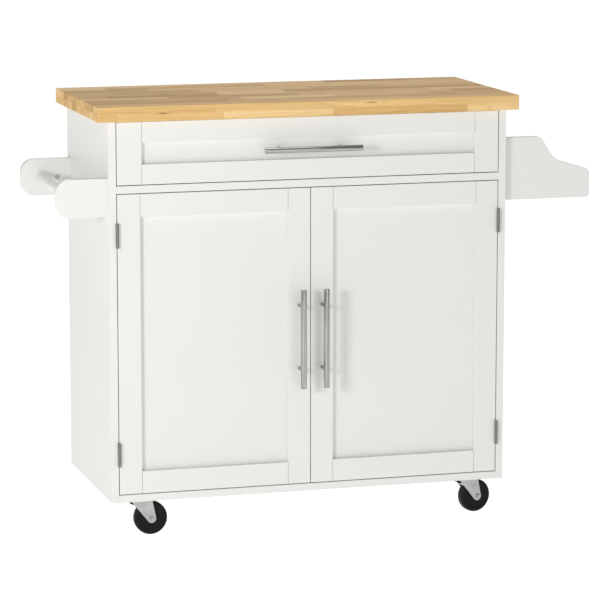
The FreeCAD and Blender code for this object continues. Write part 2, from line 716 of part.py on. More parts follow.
def hinge_pins():
    """Pins with a pointed tip at each end that covers the knuckles."""
    pins = []
    for side in (LEFT, RIGHT):
        x = inward_x(side, FRONT_GAP / 2)
        for z0 in HINGE_STARTS:
            low = Vector(x, HINGE_Y, z0)
            high = Vector(x, HINGE_Y, z0 + HINGE_LENGTH)
            pieces = [rod(HINGE_PIN_RADIUS, low, high)]
            for seat, way in ((low, AXIS_Z * -1), (high, AXIS_Z)):
                pieces.append(Part.makeCone(KNUCKLE_RADIUS, HINGE_PIN_RADIUS, HINGE_PIN_TIP,
                                            seat, way))
            pins.append(joined(pieces))
    return pins


def strike_plate(side):
    x = MIDDLE_X + side * CATCH_OFFSET
    z = DIVIDER_BOTTOM - CATCH_HEIGHT / 2 - FRONT_GAP / 2
    plate = box(x - STRIKE_WIDTH / 2, x + STRIKE_WIDTH / 2, FRAME_BACK,
                FRAME_BACK + STRIKE_THICKNESS, z - STRIKE_HEIGHT / 2, z + STRIKE_HEIGHT / 2)
    return eased(plate, BOARD_EDGE, AXIS_Y)


# Racks

def towel_arm(y0):
    """Board with two rounded outer corners and a socket for the rail."""
    root = Vector(inward_x(LEFT, -BOARD), 0, TOWEL_ARM_BOTTOM)
    radius = TOWEL_ARM_CORNER
    low = root + Vector(radius - TOWEL_REACH, 0, radius)
    high = root + Vector(radius - TOWEL_REACH, 0, TOWEL_ARM_HEIGHT - radius)
    top = root + Vector(0, 0, TOWEL_ARM_HEIGHT)
    wire = chained([line(top, root), arc(low, radius, 270, 180), arc(high, radius, 180, 90)])
    board = eased_outline(outline_solid(wire, y0, y0 + RACK_BOARD))
    return without(board, [towel_rail()] + rack_fixings(LEFT) + rack_dowels(LEFT))


def eased_outline(board):
    """Rounds the front and back rims of a rack board, except along the side panel."""
    rims = []
    for edge in board.Edges:
        middle = edge.CenterOfMass
        along = edge.tangentAt(edge.FirstParameter)
        on_panel = abs(abs(middle.x - MIDDLE_X) - CABINET_WIDTH / 2) < 1e-3
        if abs(along.y) < 0.5 and not on_panel:
            rims.append(edge)
    return board.makeFillet(RACK_EDGE, rims)


def towel_rail():
    x = inward_x(LEFT, -BOARD - RAIL_DISTANCE)
    front, rear = rack_board_fronts()
    return rod(RAIL_RADIUS, Vector(x, front + RACK_BOARD - RAIL_SOCKET, TOWEL_Z),
               Vector(x, rear + RAIL_SOCKET, TOWEL_Z))


def rounding(before, corner, after, radius):
    """Arc that rounds the corner of an outline between its two neighbours."""
    back = (before - corner).normalize()
    onward = (after - corner).normalize()
    half = back.getAngle(onward) / 2
    reach = radius / math.tan(half)
    middle = corner + (back + onward).normalize() * (radius / math.sin(half) - radius)
    return Part.Arc(corner + back * reach, middle, corner + onward * reach).toShape()


def spice_end(y0):
    """Scalloped end board: level top, S-curve down to a sloping lip, rounded outer corners."""
    root = Vector(inward_x(RIGHT, -BOARD), 0, SPICE_Z)
    fall = math.tan(math.radians(SPICE_SLOPE))
    lip_fall = math.tan(math.radians(SPICE_LIP_SLOPE))
    dip_x = ((SPICE_HEIGHT - SPICE_LIP_HEIGHT + SPICE_CREST * fall - SPICE_REACH * lip_fall)
             / (fall - lip_fall))
    dip_z = SPICE_LIP_HEIGHT + (SPICE_REACH - dip_x) * lip_fall
    points = [root + Vector(x, 0, z) for x, z in (
        (0, 0), (0, SPICE_HEIGHT), (SPICE_CREST, SPICE_HEIGHT), (dip_x, dip_z),
        (SPICE_REACH, SPICE_LIP_HEIGHT), (SPICE_REACH, 0))]
    radii = (SPICE_CREST_RADIUS, SPICE_SWEEP_RADIUS, SPICE_CORNER_RADIUS, SPICE_FOOT_RADIUS)
    neighbours = zip(points[1:], points[2:], points[3:] + points[:1])
    edges = [rounding(*corner, radius) for corner, radius in zip(neighbours, radii)]
    wire = chained([line(points[0], points[1])] + edges)
    board = eased_outline(outline_solid(wire, y0, y0 + RACK_BOARD))
    return without(board, rack_fixings(RIGHT) + rack_dowels(RIGHT))


def spice_inner_box(x0, x1, z0, z1):
    """Board between the two scalloped ends."""
    front, rear = rack_board_fronts()
    return box(x0, x1, front + RACK_BOARD, rear, z0, z1)


def spice_base():
    x0 = inward_x(RIGHT, -BOARD)
    return spice_inner_box(x0, x0 + SPICE_REACH - SPICE_END_MARGIN, SPICE_Z,
                           SPICE_Z + SPICE_BASE_THICKNESS)


def spice_rail():
    x1 = inward_x(RIGHT, -BOARD) + SPICE_REACH - SPICE_END_MARGIN
    z0 = SPICE_Z + SPICE_BASE_THICKNESS
    rail = spice_inner_box(x1 - SPICE_RAIL_THICKNESS, x1, z0, z0 + SPICE_RAIL_HEIGHT)
    return eased(rail, RACK_EDGE, AXIS_Y)


# Casters, made about a swivel axis on the origin with the wheel trailing towards +X

def axle_centre(y):
    return Vector(TRAIL, y, WHEEL_RADIUS)


def caster_plate():
    """Mounting plate with its upper ball race and riveted kingpin."""
    plate = box(-PLATE_LENGTH / 2, PLATE_LENGTH / 2, -PLATE_WIDTH / 2, PLATE_WIDTH / 2,
                PLATE_BOTTOM, CASTER_HEIGHT)
    plate = eased(plate, PLATE_CORNER, AXIS_Z)
    head_bottom = FORK_TOP - FORK_SHEET - MOVING_GAP - KINGPIN_HEAD
    race = Part.makeCylinder(RACE_RADIUS, PLATE_BOTTOM - RACE_SPLIT - RACE_GAP / 2,
                             Vector(0, 0, RACE_SPLIT + RACE_GAP / 2))
    pin = Part.makeCylinder(KINGPIN_RADIUS, CASTER_HEIGHT - head_bottom, Vector(0, 0, head_bottom))
    head = Part.makeCylinder(KINGPIN_HEAD_RADIUS, KINGPIN_HEAD, Vector(0, 0, head_bottom))
    return joined([plate, race, pin, head])


def tangent_angle(point, centre, radius, way):
    """Direction, in degrees, from a circle's centre to where a line from the point touches it."""
    offset = point - centre
    base = math.atan2(offset.z, offset.x)
    return math.degrees(base + way * math.acos(radius / math.hypot(offset.x, offset.z)))


def fork_leg(y0):
    """Sheet leg that tapers from the fork's top to an eye round the axle."""
    eye = axle_centre(0)
    front = Vector(-FORK_TOP_FRONT, 0, FORK_TOP)
    rear = Vector(TRAIL + FORK_TOP_REAR, 0, FORK_TOP)
    rear_angle = tangent_angle(rear, eye, FORK_EYE_RADIUS, -1)
    front_angle = tangent_angle(front, eye, FORK_EYE_RADIUS, 1) - 360
    wire = chained([line(front, rear), arc(eye, FORK_EYE_RADIUS, rear_angle, front_angle)])
    return outline_solid(wire, y0, y0 + FORK_SHEET)


def caster_fork(has_brake):
    """Two legs, top sheet and lower ball race, bored for the kingpin, axle and lever pin."""
    top = box(-FORK_TOP_FRONT, TRAIL + FORK_TOP_REAR, -FORK_OUTER_HALF, FORK_OUTER_HALF,
              FORK_TOP - FORK_SHEET, FORK_TOP)
    disc = Part.makeCylinder(RACE_RADIUS + FORK_DISC_MARGIN, FORK_SHEET, Vector(0, 0, FORK_TOP - FORK_SHEET))
    race = Part.makeCylinder(RACE_RADIUS, RACE_SPLIT - RACE_GAP / 2 - FORK_TOP,
                             Vector(0, 0, FORK_TOP))
    fork = joined([fork_leg(-FORK_OUTER_HALF), fork_leg(FORK_INNER_HALF), top, disc, race])
    bores = [Part.makeCylinder(KINGPIN_RADIUS + RUNNING_CLEARANCE, CASTER_HEIGHT), axle_shaft()]
    if has_brake:
        bores.append(lever_pin(RUNNING_CLEARANCE))
    return fork.cut(bores)


def axle_shaft():
    return rod(AXLE_RADIUS, axle_centre(-FORK_OUTER_HALF), axle_centre(FORK_OUTER_HALF))


def caster_axle():
    pieces = [axle_shaft()]
    for side in (-1, 1):
        seat = axle_centre(side * FORK_OUTER_HALF)
        tip = seat + AXIS_Y * (side * AXLE_HEAD)
        head = rod(AXLE_HEAD_RADIUS, seat, tip)
        pieces.append(eased_rim(head, AXLE_HEAD * AXLE_HEAD_ROUNDING, tip))
    return joined(pieces)


def caster_wheel():
    """Moulded wheel: hub, flat sides and rounded tread, turned about the axle."""
    tread_half = WHEEL_WIDTH / 2
    shoulder = WHEEL_RADIUS - WHEEL_EDGE
    bore = AXLE_RADIUS + RUNNING_CLEARANCE
    half = [(bore, HUB_WIDTH / 2), (HUB_RADIUS, HUB_WIDTH / 2), (HUB_RADIUS, tread_half),
            (shoulder, tread_half)]
    corners = [Vector(0, y, r) for r, y in half]
    mirrored = [Vector(0, -v.y, v.z) for v in reversed(corners)]
    lean = WHEEL_EDGE * (1 - math.sqrt(0.5))

    def tread_corner(way):
        points = [Vector(0, way * tread_half, shoulder),
                  Vector(0, way * (tread_half - lean), WHEEL_RADIUS - lean),
                  Vector(0, way * (tread_half - WHEEL_EDGE), WHEEL_RADIUS)]
        return Part.Arc(*(points if way > 0 else points[::-1])).toShape()

    edges = [line(a, b) for a, b in zip(corners, corners[1:])]
    edges.append(tread_corner(1))
    edges.append(line(edges[-1].lastVertex(True).Point, Vector(0, WHEEL_EDGE - tread_half, WHEEL_RADIUS)))
    edges.append(tread_corner(-1))
    edges += [line(a, b) for a, b in zip(mirrored, mirrored[1:])]
    edges.append(line(mirrored[-1], corners[0]))
    wheel = Part.Face(Part.Wire(edges)).revolve(Vector(0, 0, 0), AXIS_Y, 360)
    wheel.translate(axle_centre(0))
    return wheel


def lever_pivot(y):
    return Vector(LEVER_PIVOT_X, y, FORK_TOP - FORK_SHEET - LEVER_PIVOT_DROP)


def lever_pin(clearance):
    reach = FORK_OUTER_HALF + LEVER_PIN_PROUD
    return rod(LEVER_PIN_RADIUS + clearance, lever_pivot(-reach), lever_pivot(reach))


def brake_lever():
    """Foot pedal that turns on its pin and presses its lower corner on the tread."""
    points = [lever_pivot(0) + Vector(dx, 0, dz) for dx, dz in LEVER_OUTLINE]
    wire = Part.makePolygon(points + points[:1])
    pedal = outline_solid(wire, -LEVER_WIDTH / 2, LEVER_WIDTH / 2)
    return joined([pedal, lever_pin(0)])


def caster_placed(shape, side, end, angle):
    shape.rotate(Vector(0, 0, 0), AXIS_Z, angle)
    shape.translate(caster_axis(side, end))
    return shape


# Nodes

def cabinet_nodes():
    fixings = cam_locks() + worktop_screws()
    for side in (LEFT, RIGHT):
        fixings += hinge_screws(side, False) + slide_screws(side, False)
    plates = []
    for _, side, end, _, _ in CASTERS:
        plate = caster_placed(caster_plate(), side, end, 0)
        plates.append(without(plate, caster_screws()))
    return {
        "worktop": [worktop()],
        "side_panel_left": [side_panel(LEFT)],
        "side_panel_right": [side_panel(RIGHT)],
        "bottom_panel": [bottom_panel()],
        "divider_panel": [divider_panel()],
        "back_panel": [back_panel()],
        "top_rails": top_rails(),
        "shelf": [shelf()],
        "shelf_pins": shelf_pins(),
        "magnetic_catches": magnetic_catches(),
        "cabinet_fixings": fixings,
        "hinge_leaves_fixed": hinge_leaves(LEFT, False) + hinge_leaves(RIGHT, False),
        "hinge_pins": hinge_pins(),
        "caster_plates": plates,
        "caster_screws": caster_screws(),
    }


def rack_nodes():
    front, rear = rack_board_fronts()
    return {
        "towel_rack_front_arm": [towel_arm(front)],
        "towel_rack_back_arm": [towel_arm(rear)],
        "towel_rail": [towel_rail()],
        "spice_rack_front_end": [spice_end(front)],
        "spice_rack_back_end": [spice_end(rear)],
        "spice_rack_base": [spice_base()],
        "spice_rack_rail": [spice_rail()],
        "rack_fixings": rack_fixings(LEFT) + rack_fixings(RIGHT),
        "rack_dowels": rack_dowels(LEFT) + rack_dowels(RIGHT),
    }


def drawer_nodes():
    frame, panel = drawer_front()
    outer, middle, inner = slides()
    seat_y = FRONT + PANEL_RECESS
    centre = drawer_handle_centre()
    screws = handle_screws(centre, AXIS_X, seat_y, FRONT_PANEL)
    return {
        "drawer_front_frame": frame,
        "drawer_front_panel": [panel],
        "drawer_sides": drawer_sides(),
        "drawer_back": [drawer_back()],
        "drawer_bottom": [drawer_bottom_box(DRAWER_GROOVE - GROOVE_GAP)],
        "drawer_handle": [handle(centre, AXIS_X, seat_y)],
        "drawer_screws": screws + slide_screws(LEFT, True) + slide_screws(RIGHT, True),
        "slide_outer_members": outer,
        "slide_middle_members": middle,
        "slide_inner_members": inner,
    }


def door_nodes(name, side):
    frame, panel = door_front(side)
    return {
        name + "_frame": frame,
        name + "_panel": [panel],
        name + "_handle": [handle(door_handle_centre(side), AXIS_Z, FRONT)],
        name + "_screws": door_screws(side),
        name + "_hinge_leaves": hinge_leaves(side, True),
        name + "_strike_plate": [strike_plate(side)],
    }


def caster_nodes(name, side, end, angle, has_brake):
    pieces = {
        "fork": caster_fork(has_brake),
        "axle": caster_axle(),
        "wheel": caster_wheel(),
    }
    if has_brake:
        pieces["brake_lever"] = brake_lever()
    return {"caster_" + name + "_" + piece: [caster_placed(shape, side, end, angle)]
            for piece, shape in pieces.items()}


def all_nodes():
    nodes = {}
    nodes.update(cabinet_nodes())
    nodes.update(rack_nodes())
    nodes.update(drawer_nodes())
    nodes.update(door_nodes("door_left", LEFT))
    nodes.update(door_nodes("door_right", RIGHT))
    for caster in CASTERS:
        nodes.update(caster_nodes(*caster))
    return nodes


def export(nodes):
    os.makedirs("parts", exist_ok=True)
    for name, shapes in nodes.items():
        solids = [solid for shape in shapes for solid in shape.Solids]
        piece = solids[0] if len(solids) == 1 else Part.makeCompound(solids)
        if not piece.isValid():
            raise ValueError(name + " is not a valid shape")
        piece.exportStep("parts/" + name + ".step")


export(all_nodes())
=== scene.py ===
import json
import math
import random

import bmesh
import bpy
from mathutils import Matrix, Vector


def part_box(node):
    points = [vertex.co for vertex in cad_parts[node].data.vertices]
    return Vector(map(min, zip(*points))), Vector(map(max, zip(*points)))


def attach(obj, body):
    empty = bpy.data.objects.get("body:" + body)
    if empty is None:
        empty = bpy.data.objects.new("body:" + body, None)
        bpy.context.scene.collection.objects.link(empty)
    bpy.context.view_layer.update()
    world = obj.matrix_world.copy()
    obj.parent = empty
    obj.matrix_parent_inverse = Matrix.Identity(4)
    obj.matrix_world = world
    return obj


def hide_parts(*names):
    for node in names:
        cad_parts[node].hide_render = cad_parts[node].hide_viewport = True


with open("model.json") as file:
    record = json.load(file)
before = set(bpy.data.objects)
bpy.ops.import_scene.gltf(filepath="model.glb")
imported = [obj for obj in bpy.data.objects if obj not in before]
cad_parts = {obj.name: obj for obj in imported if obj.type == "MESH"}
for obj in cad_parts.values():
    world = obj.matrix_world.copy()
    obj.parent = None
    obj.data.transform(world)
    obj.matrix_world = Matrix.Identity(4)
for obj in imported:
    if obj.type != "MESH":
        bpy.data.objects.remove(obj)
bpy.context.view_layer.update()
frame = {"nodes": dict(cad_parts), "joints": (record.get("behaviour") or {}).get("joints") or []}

MM = 0.001


# Worktop.  Rubberwood staves, glued edge to edge in two layers and finger-jointed end to end,
# sanded flush and oiled.  Only the slab's outer edges are rounded.

class Value:
    """A shader socket that takes part in Python sums; each sum adds one Math node."""

    def __init__(self, finish, socket):
        self.finish = finish
        self.socket = socket

    def sum(self, operation, *terms, clamp=False):
        settings = {"operation": operation, "use_clamp": clamp}
        return self.finish.node("ShaderNodeMath", settings, dict(enumerate(terms)))["Value"]

    def __add__(self, other):
        return self.sum("ADD", self, other)

    def __radd__(self, other):
        return self.sum("ADD", other, self)

    def __sub__(self, other):
        return self.sum("SUBTRACT", self, other)

    def __rsub__(self, other):
        return self.sum("SUBTRACT", other, self)

    def __mul__(self, other):
        return self.sum("MULTIPLY", self, other)

    def __rmul__(self, other):
        return self.sum("MULTIPLY", other, self)

    def __truediv__(self, other):
        return self.sum("DIVIDE", self, other)

    def __rtruediv__(self, other):
        return self.sum("DIVIDE", other, self)

    def size(self):
        """The same without its sign."""
        return self.sum("ABSOLUTE", self)

    def part(self):
        """What is left past the whole number."""
        return self.sum("FRACT", self)

    def limited(self):
        """Kept between 0 and 1."""
        return self.sum("ADD", self, 0.0, clamp=True)


class Finish:
    """One material: a Principled shader and the nodes that feed it."""

    def __init__(self, name, constants):
        self.material = bpy.data.materials.new(name)
        self.material.use_nodes = True
        self.tree = self.material.node_tree
        self.shader = self.tree.nodes["Principled BSDF"]
        for socket, value in constants.items():
            self.shader.inputs[socket].default_value = value

    def node(self, kind, settings, inputs):
        """Adds a node, with its settings first, and returns its outputs by name or number."""
        node = self.tree.nodes.new(kind)
        for name, value in settings.items():
            if name == "stops":
                self.set_stops(node.color_ramp, value)
            else:
                setattr(node, name, value)
        for key, value in inputs.items():
            self.feed(node.inputs[key], value)
        return {socket.name: Value(self, socket) for socket in node.outputs if socket.enabled}

    def feed(self, socket, value):
        if isinstance(value, Value):
            self.tree.links.new(value.socket, socket)
        else:
            socket.default_value = value

    def set_stops(self, ramp, stops):
        while len(ramp.elements) < len(stops):
            ramp.elements.new(1.0)
        for element, (position, colour) in zip(ramp.elements, stops):
            element.position = position
            element.color = (*colour, 1.0)

    def place(self):
        return self.node("ShaderNodeTexCoord", {}, {})["Object"]

    def vector(self, operation, first, second):
        outputs = self.node("ShaderNodeVectorMath", {"operation": operation},
                            {0: first, 1: second})
        return outputs["Value"] if operation == "LENGTH" else outputs["Vector"]

    def noise(self, vector, scale, detail=2.0, roughness=0.5, output="Fac"):
        inputs = {"Vector": vector, "Scale": scale, "Detail": detail, "Roughness": roughness}
        return self.node("ShaderNodeTexNoise", {"normalize": True}, inputs)[output]

    def mix(self, factor, first, second):
        inputs = {0: factor, 6: self.colour(first), 7: self.colour(second)}
        return self.node("ShaderNodeMix", {"data_type": "RGBA"}, inputs)["Result"]

    def colour(self, value):
        return value if isinstance(value, Value) else (*value, 1.0)

    def ramp(self, factor, stops):
        return self.node("ShaderNodeValToRGB", {"stops": stops}, {0: factor})["Color"]

    def bump(self, height, depth):
        inputs = {"Height": height, "Distance": depth, "Strength": 1.0}
        self.feed(self.shader.inputs["Normal"],
                  self.node("ShaderNodeBump", {}, inputs)["Normal"])

    def set(self, socket, value):
        self.feed(self.shader.inputs[socket], value)


STAVE_STRIPS = 10
STAVE_LAYERS = 2
STAVE_SEED = 24
# Lengths as shares of the slab's: a strip's first stave and its last may be cut short.
STAVE_FIRST = 0.06
STAVE_LAST = 0.08
STAVE_SHORTEST = 0.15
STAVE_LONGEST = 0.40
STAVE_EDGE = 1.5 * MM
STAVE_JOINT = 0.12 * MM
STAVE_RING = 6.5 * MM
# Where a stave's pith may lie: along the slab, across it, and below the stave, in metres.
PITH_SEED = 7
PITH_ALONG = 9.0
PITH_ACROSS = 0.05
PITH_BELOW = (0.02, 0.09)
WOOD_COLOURS = (
    (0.00, (0.870, 0.655, 0.360)),
    (0.30, (0.780, 0.520, 0.225)),
    (0.62, (0.620, 0.385, 0.145)),
    (1.00, (0.390, 0.200, 0.065)),
)
PORE_COLOUR = (0.300, 0.150, 0.060)
KNOT_COLOUR = (0.250, 0.110, 0.035)
# The front strip's lower and upper layers: end joints, as shares of the slab's length, and how
# dark each of their staves is, from 0 to 1.
FRONT_JOINTS = ((0.045, 0.291, 0.549, 0.872), (0.272, 0.555, 0.80))
FRONT_TONES = ((0.50, 0.34, 0.10, 0.70, 0.14), (0.40, 0.42, 0.26, 0.22))
# Knots in the slab: place as shares of its length, depth and height, and size in metres.
KNOTS = (
    ((0.215, 0.53, 1.0), (0.021, 0.0085, 0.012)),
    ((0.118, 0.62, 1.0), (0.020, 0.0050, 0.008)),
    ((0.150, 0.00, 0.50), (0.016, 0.0100, 0.0022)),
    ((0.640, 0.00, 0.80), (0.014, 0.0100, 0.0016)),
    ((0.560, 0.33, 1.0), (0.014, 0.0050, 0.008)),
)


def oiled_wood(slab_low, slab_size):
    """Solid wood: growth rings round each stave's own pith, stretched fibres, pores and knots."""
    wood = Finish("oiled_wood", {"Specular IOR Level": 0.12})
    place = wood.place()
    pith = wood.node("ShaderNodeAttribute", {"attribute_name": "pith"}, {})["Vector"]
    tone = wood.node("ShaderNodeAttribute", {"attribute_name": "tone"}, {})["Fac"]
    local = wood.vector("SUBTRACT", place, pith)
    slow = wood.vector("MULTIPLY", local, (2.6, 15.0, 15.0))
    wobble = wood.noise(slow, 1.0, 2.0, 0.55, "Color")
    bent = wood.vector("MULTIPLY", wood.vector("SUBTRACT", wobble, (0.5, 0.5, 0.5)),
                       (0.0, 0.055, 0.055))
    across = wood.vector("ADD", wood.vector("MULTIPLY", local, (0.0, 1.0, 1.0)), bent)
    radius = wood.vector("LENGTH", across, (0.0, 0.0, 0.0))
    core = 0.0
    for share, size in KNOTS:
        centre = [slab_low[i] + share[i] * slab_size[i] for i in range(3)]
        offset = wood.vector("DIVIDE", wood.vector("SUBTRACT", place, centre), size)
        ragged = wood.noise(wood.vector("MULTIPLY", place, (120.0, 420.0, 420.0)), 1.0, 2.0)
        distance = wood.vector("LENGTH", offset, (0.0, 0.0, 0.0)) + (ragged - 0.5) * 0.9
        radius = radius + 0.022 / (1.0 + distance * distance * 1.6)
        core = core + (1.15 - distance).limited()
    ring = (radius / STAVE_RING).part()
    late = ring * ring * ring
    fibre = wood.noise(wood.vector("MULTIPLY", local, (9.0, 420.0, 420.0)), 1.0, 4.0, 0.62)
    streak = wood.noise(wood.vector("MULTIPLY", local, (1.6, 60.0, 60.0)), 1.0, 3.0, 0.6)
    pores = wood.noise(wood.vector("MULTIPLY", local, (130.0, 1900.0, 1900.0)), 1.0, 1.0)
    pore = ((0.36 - pores) * 9.0).limited()
    shade = (tone * 0.62 + streak * 0.75 - 0.20 + late * 0.16 + (fibre - 0.5) * 0.35).limited()
    colour = wood.mix(pore * 0.30, wood.ramp(shade, WOOD_COLOURS), PORE_COLOUR)
    colour = wood.mix((core * 0.85).limited(), colour, KNOT_COLOUR)
    wood.set("Base Color", colour)
    wood.set("Roughness", 0.52 + (fibre - 0.5) * 0.22 + pore * 0.12)
    wood.bump(fibre * 0.4 + late * 0.25 - pore * 0.6, 0.18 * MM)
    return wood.material


def block(mesh, low, high):
    """Adds a closed box to a bmesh and returns its faces."""
    before = set(mesh.faces)
    centre = (Vector(low) + Vector(high)) / 2
    size = Vector(high) - Vector(low)
    matrix = Matrix.Translation(centre) @ Matrix.Diagonal((*size, 1.0))
    bmesh.ops.create_cube(mesh, size=1.0, matrix=matrix)
    return [face for face in mesh.faces if face not in before]


def random_joints(source):
    """End joints of one strip of staves, as shares of the slab's length."""
    joints = []
    place = source.uniform(STAVE_FIRST, STAVE_LONGEST)
    while place < 1.0 - STAVE_LAST:
        joints.append(place)
        place += source.uniform(STAVE_SHORTEST, STAVE_LONGEST)
    return joints


def stave_blocks(low, high):
    """Corners and tone of every stave, strip by strip from the front."""
    source = random.Random(STAVE_SEED)
    length = high.x - low.x
    width = (high.y - low.y) / STAVE_STRIPS
    height = (high.z - low.z) / STAVE_LAYERS
    blocks = []
    for layer in range(STAVE_LAYERS):
        for strip in range(STAVE_STRIPS):
            joints = FRONT_JOINTS[layer] if strip == 0 else random_joints(source)
            ends = [0.0, *joints, 1.0]
            tones = FRONT_TONES[layer] if strip == 0 else [source.random() for _ in ends]
            y = low.y + strip * width
            z = low.z + layer * height
            for start, end, tone in zip(ends, ends[1:], tones):
                blocks.append(((low.x + start * length, y, z),
                               (low.x + end * length, y + width, z + height), tone))
    return blocks


def is_outer(face, low, high):
    """Whether a stave's face lies on the outside of the slab."""
    centre = face.calc_center_median()
    near = 0.01 * MM
    return any(abs(centre[i] - low[i]) < near or abs(centre[i] - high[i]) < near
               for i in range(3))


def stave_mesh(low, high):
    """All staves in one mesh, each with its tone and pith; bevel weights mark the edges."""
    source = random.Random(PITH_SEED)
    mesh = bmesh.new()
    tone = mesh.faces.layers.float.new("tone")
    pith = mesh.faces.layers.float_vector.new("pith")
    weight = mesh.edges.layers.float.new("bevel_weight_edge")
    for corner, opposite, stave_tone in stave_blocks(low, high):
        middle = (Vector(corner) + Vector(opposite)) / 2
        stave_pith = Vector((source.uniform(-PITH_ALONG, PITH_ALONG),
                             middle.y + source.uniform(-PITH_ACROSS, PITH_ACROSS),
                             middle.z - source.uniform(*PITH_BELOW)))
        for face in block(mesh, corner, opposite):
            face[tone] = stave_tone
            face[pith] = stave_pith
    for edge in mesh.edges:
        outside = sum(is_outer(face, low, high) for face in edge.link_faces)
        edge[weight] = (0.0, STAVE_JOINT / STAVE_EDGE, 1.0)[outside]
    return mesh


SHARP_ANGLE = math.radians(32)


def new_object(name, data):
    """An object in the scene, with its place in its mesh."""
    made = bpy.data.objects.new(name, data)
    bpy.context.scene.collection.objects.link(made)
    return made


def piece(name, mesh, material, body, nodes=(), bevel=0.0, segments=2):
    """Turns a bmesh into a named piece that rides on a body and stands for the given nodes."""
    data = bpy.data.meshes.new(name)
    mesh.to_mesh(data)
    mesh.free()
    data.materials.append(material)
    data.polygons.foreach_set("use_smooth", [True] * len(data.polygons))
    data.set_sharp_from_angle(angle=SHARP_ANGLE)
    made = new_object(name, data)
    if bevel:
        add_bevel(made, bevel, segments, "ANGLE")
    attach(made, body)
    for node in nodes:
        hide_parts(node)
    return made


def add_bevel(made, width, segments, limit):
    """Rounds a piece's edges and keeps its faces flat."""
    bevel = made.modifiers.new("rounded_edges", "BEVEL")
    bevel.width = width
    bevel.segments = segments
    bevel.limit_method = limit
    bevel.angle_limit = SHARP_ANGLE
    normals = made.modifiers.new("flat_faces", "WEIGHTED_NORMAL")
    normals.keep_sharp = False


slab_low, slab_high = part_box("worktop")
wood_finish = oiled_wood(slab_low, slab_high - slab_low)
worktop = piece("worktop_staves", stave_mesh(slab_low, slab_high), wood_finish,
                "root", ["worktop"])
add_bevel(worktop, STAVE_EDGE, 3, "WEIGHT")


# Painted boards.  Fibreboard panels, frames and racks, sprayed with a satin white paint that
# leaves a faint orange peel.  Their shapes and eased edges are the frame's own.  Where the
# framed fronts' rails meet their stiles, a thin dark line of painted shade stands for the
# shade in the seam's groove.

PAINT_COLOUR = (0.762, 0.768, 0.738)
PAINT_SHADOW_COLOUR = (0.746, 0.752, 0.720)
PAINTED_NODES = (
    "side_panel_left", "side_panel_right", "bottom_panel", "divider_panel", "back_panel",
    "top_rails", "shelf", "towel_rack_front_arm", "towel_rack_back_arm",
    "spice_rack_front_end", "spice_rack_back_end", "spice_rack_base", "spice_rack_rail",
    "drawer_front_panel", "drawer_sides", "drawer_back", "drawer_bottom",
    "door_left_panel", "door_right_panel",
)
# Stile and rail widths of each framed front.
FRAMED_NODES = {
    "drawer_front_frame": (50 * MM, 40 * MM),
    "door_left_frame": (46 * MM, 45 * MM),
    "door_right_frame": (46 * MM, 45 * MM),
}
SEAM_HALF = 0.6 * MM
# Painted shade: the dark colour of the thin line where rails meet stiles stands for the shade in
# the seam's groove.
SEAM_SHADE_COLOUR = (0.398, 0.398, 0.388)


def satin_paint(name, seam_shade_mask=None):
    """Satin paint; the second argument, where given, is a function that gives the mask of the
    painted seam shade.
    """
    paint = Finish(name, {"Specular IOR Level": 0.42})
    place = paint.place()
    cloud = paint.noise(place, 7.0, 3.0)
    peel = paint.noise(place, 520.0, 2.0, 0.4)
    brushed = paint.noise(paint.vector("MULTIPLY", place, (60.0, 60.0, 7.0)), 1.0, 2.0)
    colour = paint.mix(cloud, PAINT_COLOUR, PAINT_SHADOW_COLOUR)
    # Painted shade: the seam mask darkens the colour to stand for the shade in the seam's groove.
    if seam_shade_mask:
        colour = paint.mix(seam_shade_mask(paint, place), colour, SEAM_SHADE_COLOUR)
    paint.set("Base Color", colour)
    paint.set("Roughness", 0.36 + (cloud - 0.5) * 0.08 + (peel - 0.5) * 0.06)
    paint.bump(peel + brushed * 0.35, 0.035 * MM)
    return paint.material


def dress(node, material):
    """Gives a frame node its finish."""
    for slot in frame["nodes"][node].material_slots:
        slot.material = material


def stile_seam_shade(node, stile, rail):
    """Mask of the painted shade along the four upright joints between a framed front's stiles and
    rails.
    """
    low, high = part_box(node)

    def mask(paint, place):
        parts = paint.node("ShaderNodeSeparateXYZ", {}, {"Vector": place})
        from_middle = (parts["X"] - (low.x + high.x) / 2).size()
        seam = 1.0 - (from_middle - ((high.x - low.x) / 2 - stile)).size() / SEAM_HALF
        from_level = (parts["Z"] - (low.z + high.z) / 2).size()
        on_rail = (from_level - ((high.z - low.z) / 2 - rail)) / SEAM_HALF
        return (seam * 2.0).limited() * on_rail.limited()

    return mask


paint_finish = satin_paint("satin_white_paint")
for node in PAINTED_NODES:
    dress(node, paint_finish)
for node, (stile, rail) in FRAMED_NODES.items():
    dress(node, satin_paint(f"{node}_paint", stile_seam_shade(node, stile, rail)))


# Towel rail.  A turned wooden dowel between the rack's arms, painted with them.

TURNED_STEPS = 48
RAIL_EDGE = 0.4 * MM


def turned(mesh, profile, start, axis, steps=TURNED_STEPS):
    """Adds a closed turned shape: profile points are (distance along the axis, radius)."""
    along = Vector(axis).normalized()
    side = along.orthogonal().normalized()
    other = along.cross(side)
    rings = []
    for distance, radius in profile:
        centre = Vector(start) + along * distance
        if radius < 1e-9:
            rings.append([mesh.verts.new(centre)])
            continue
        ring = []
        for step in range(steps):
            angle = math.tau * step / steps
            ring.append(mesh.verts.new(centre + (side * math.cos(angle)
                                                 + other * math.sin(angle)) * radius))
        rings.append(ring)
    for first, second in zip(rings, rings[1:]):
        for step in range(steps):
            corners = []
            for ring, index in ((first, step), (first, step + 1), (second, step + 1),
                                (second, step)):
                vertex = ring[index % len(ring)]
                if vertex not in corners:
                    corners.append(vertex)
            if len(corners) > 2:
                mesh.faces.new(corners)
    if len(rings[0]) > 1 and profile[0] != profile[-1]:
        mesh.faces.new(rings[0][::-1])
        mesh.faces.new(rings[-1])


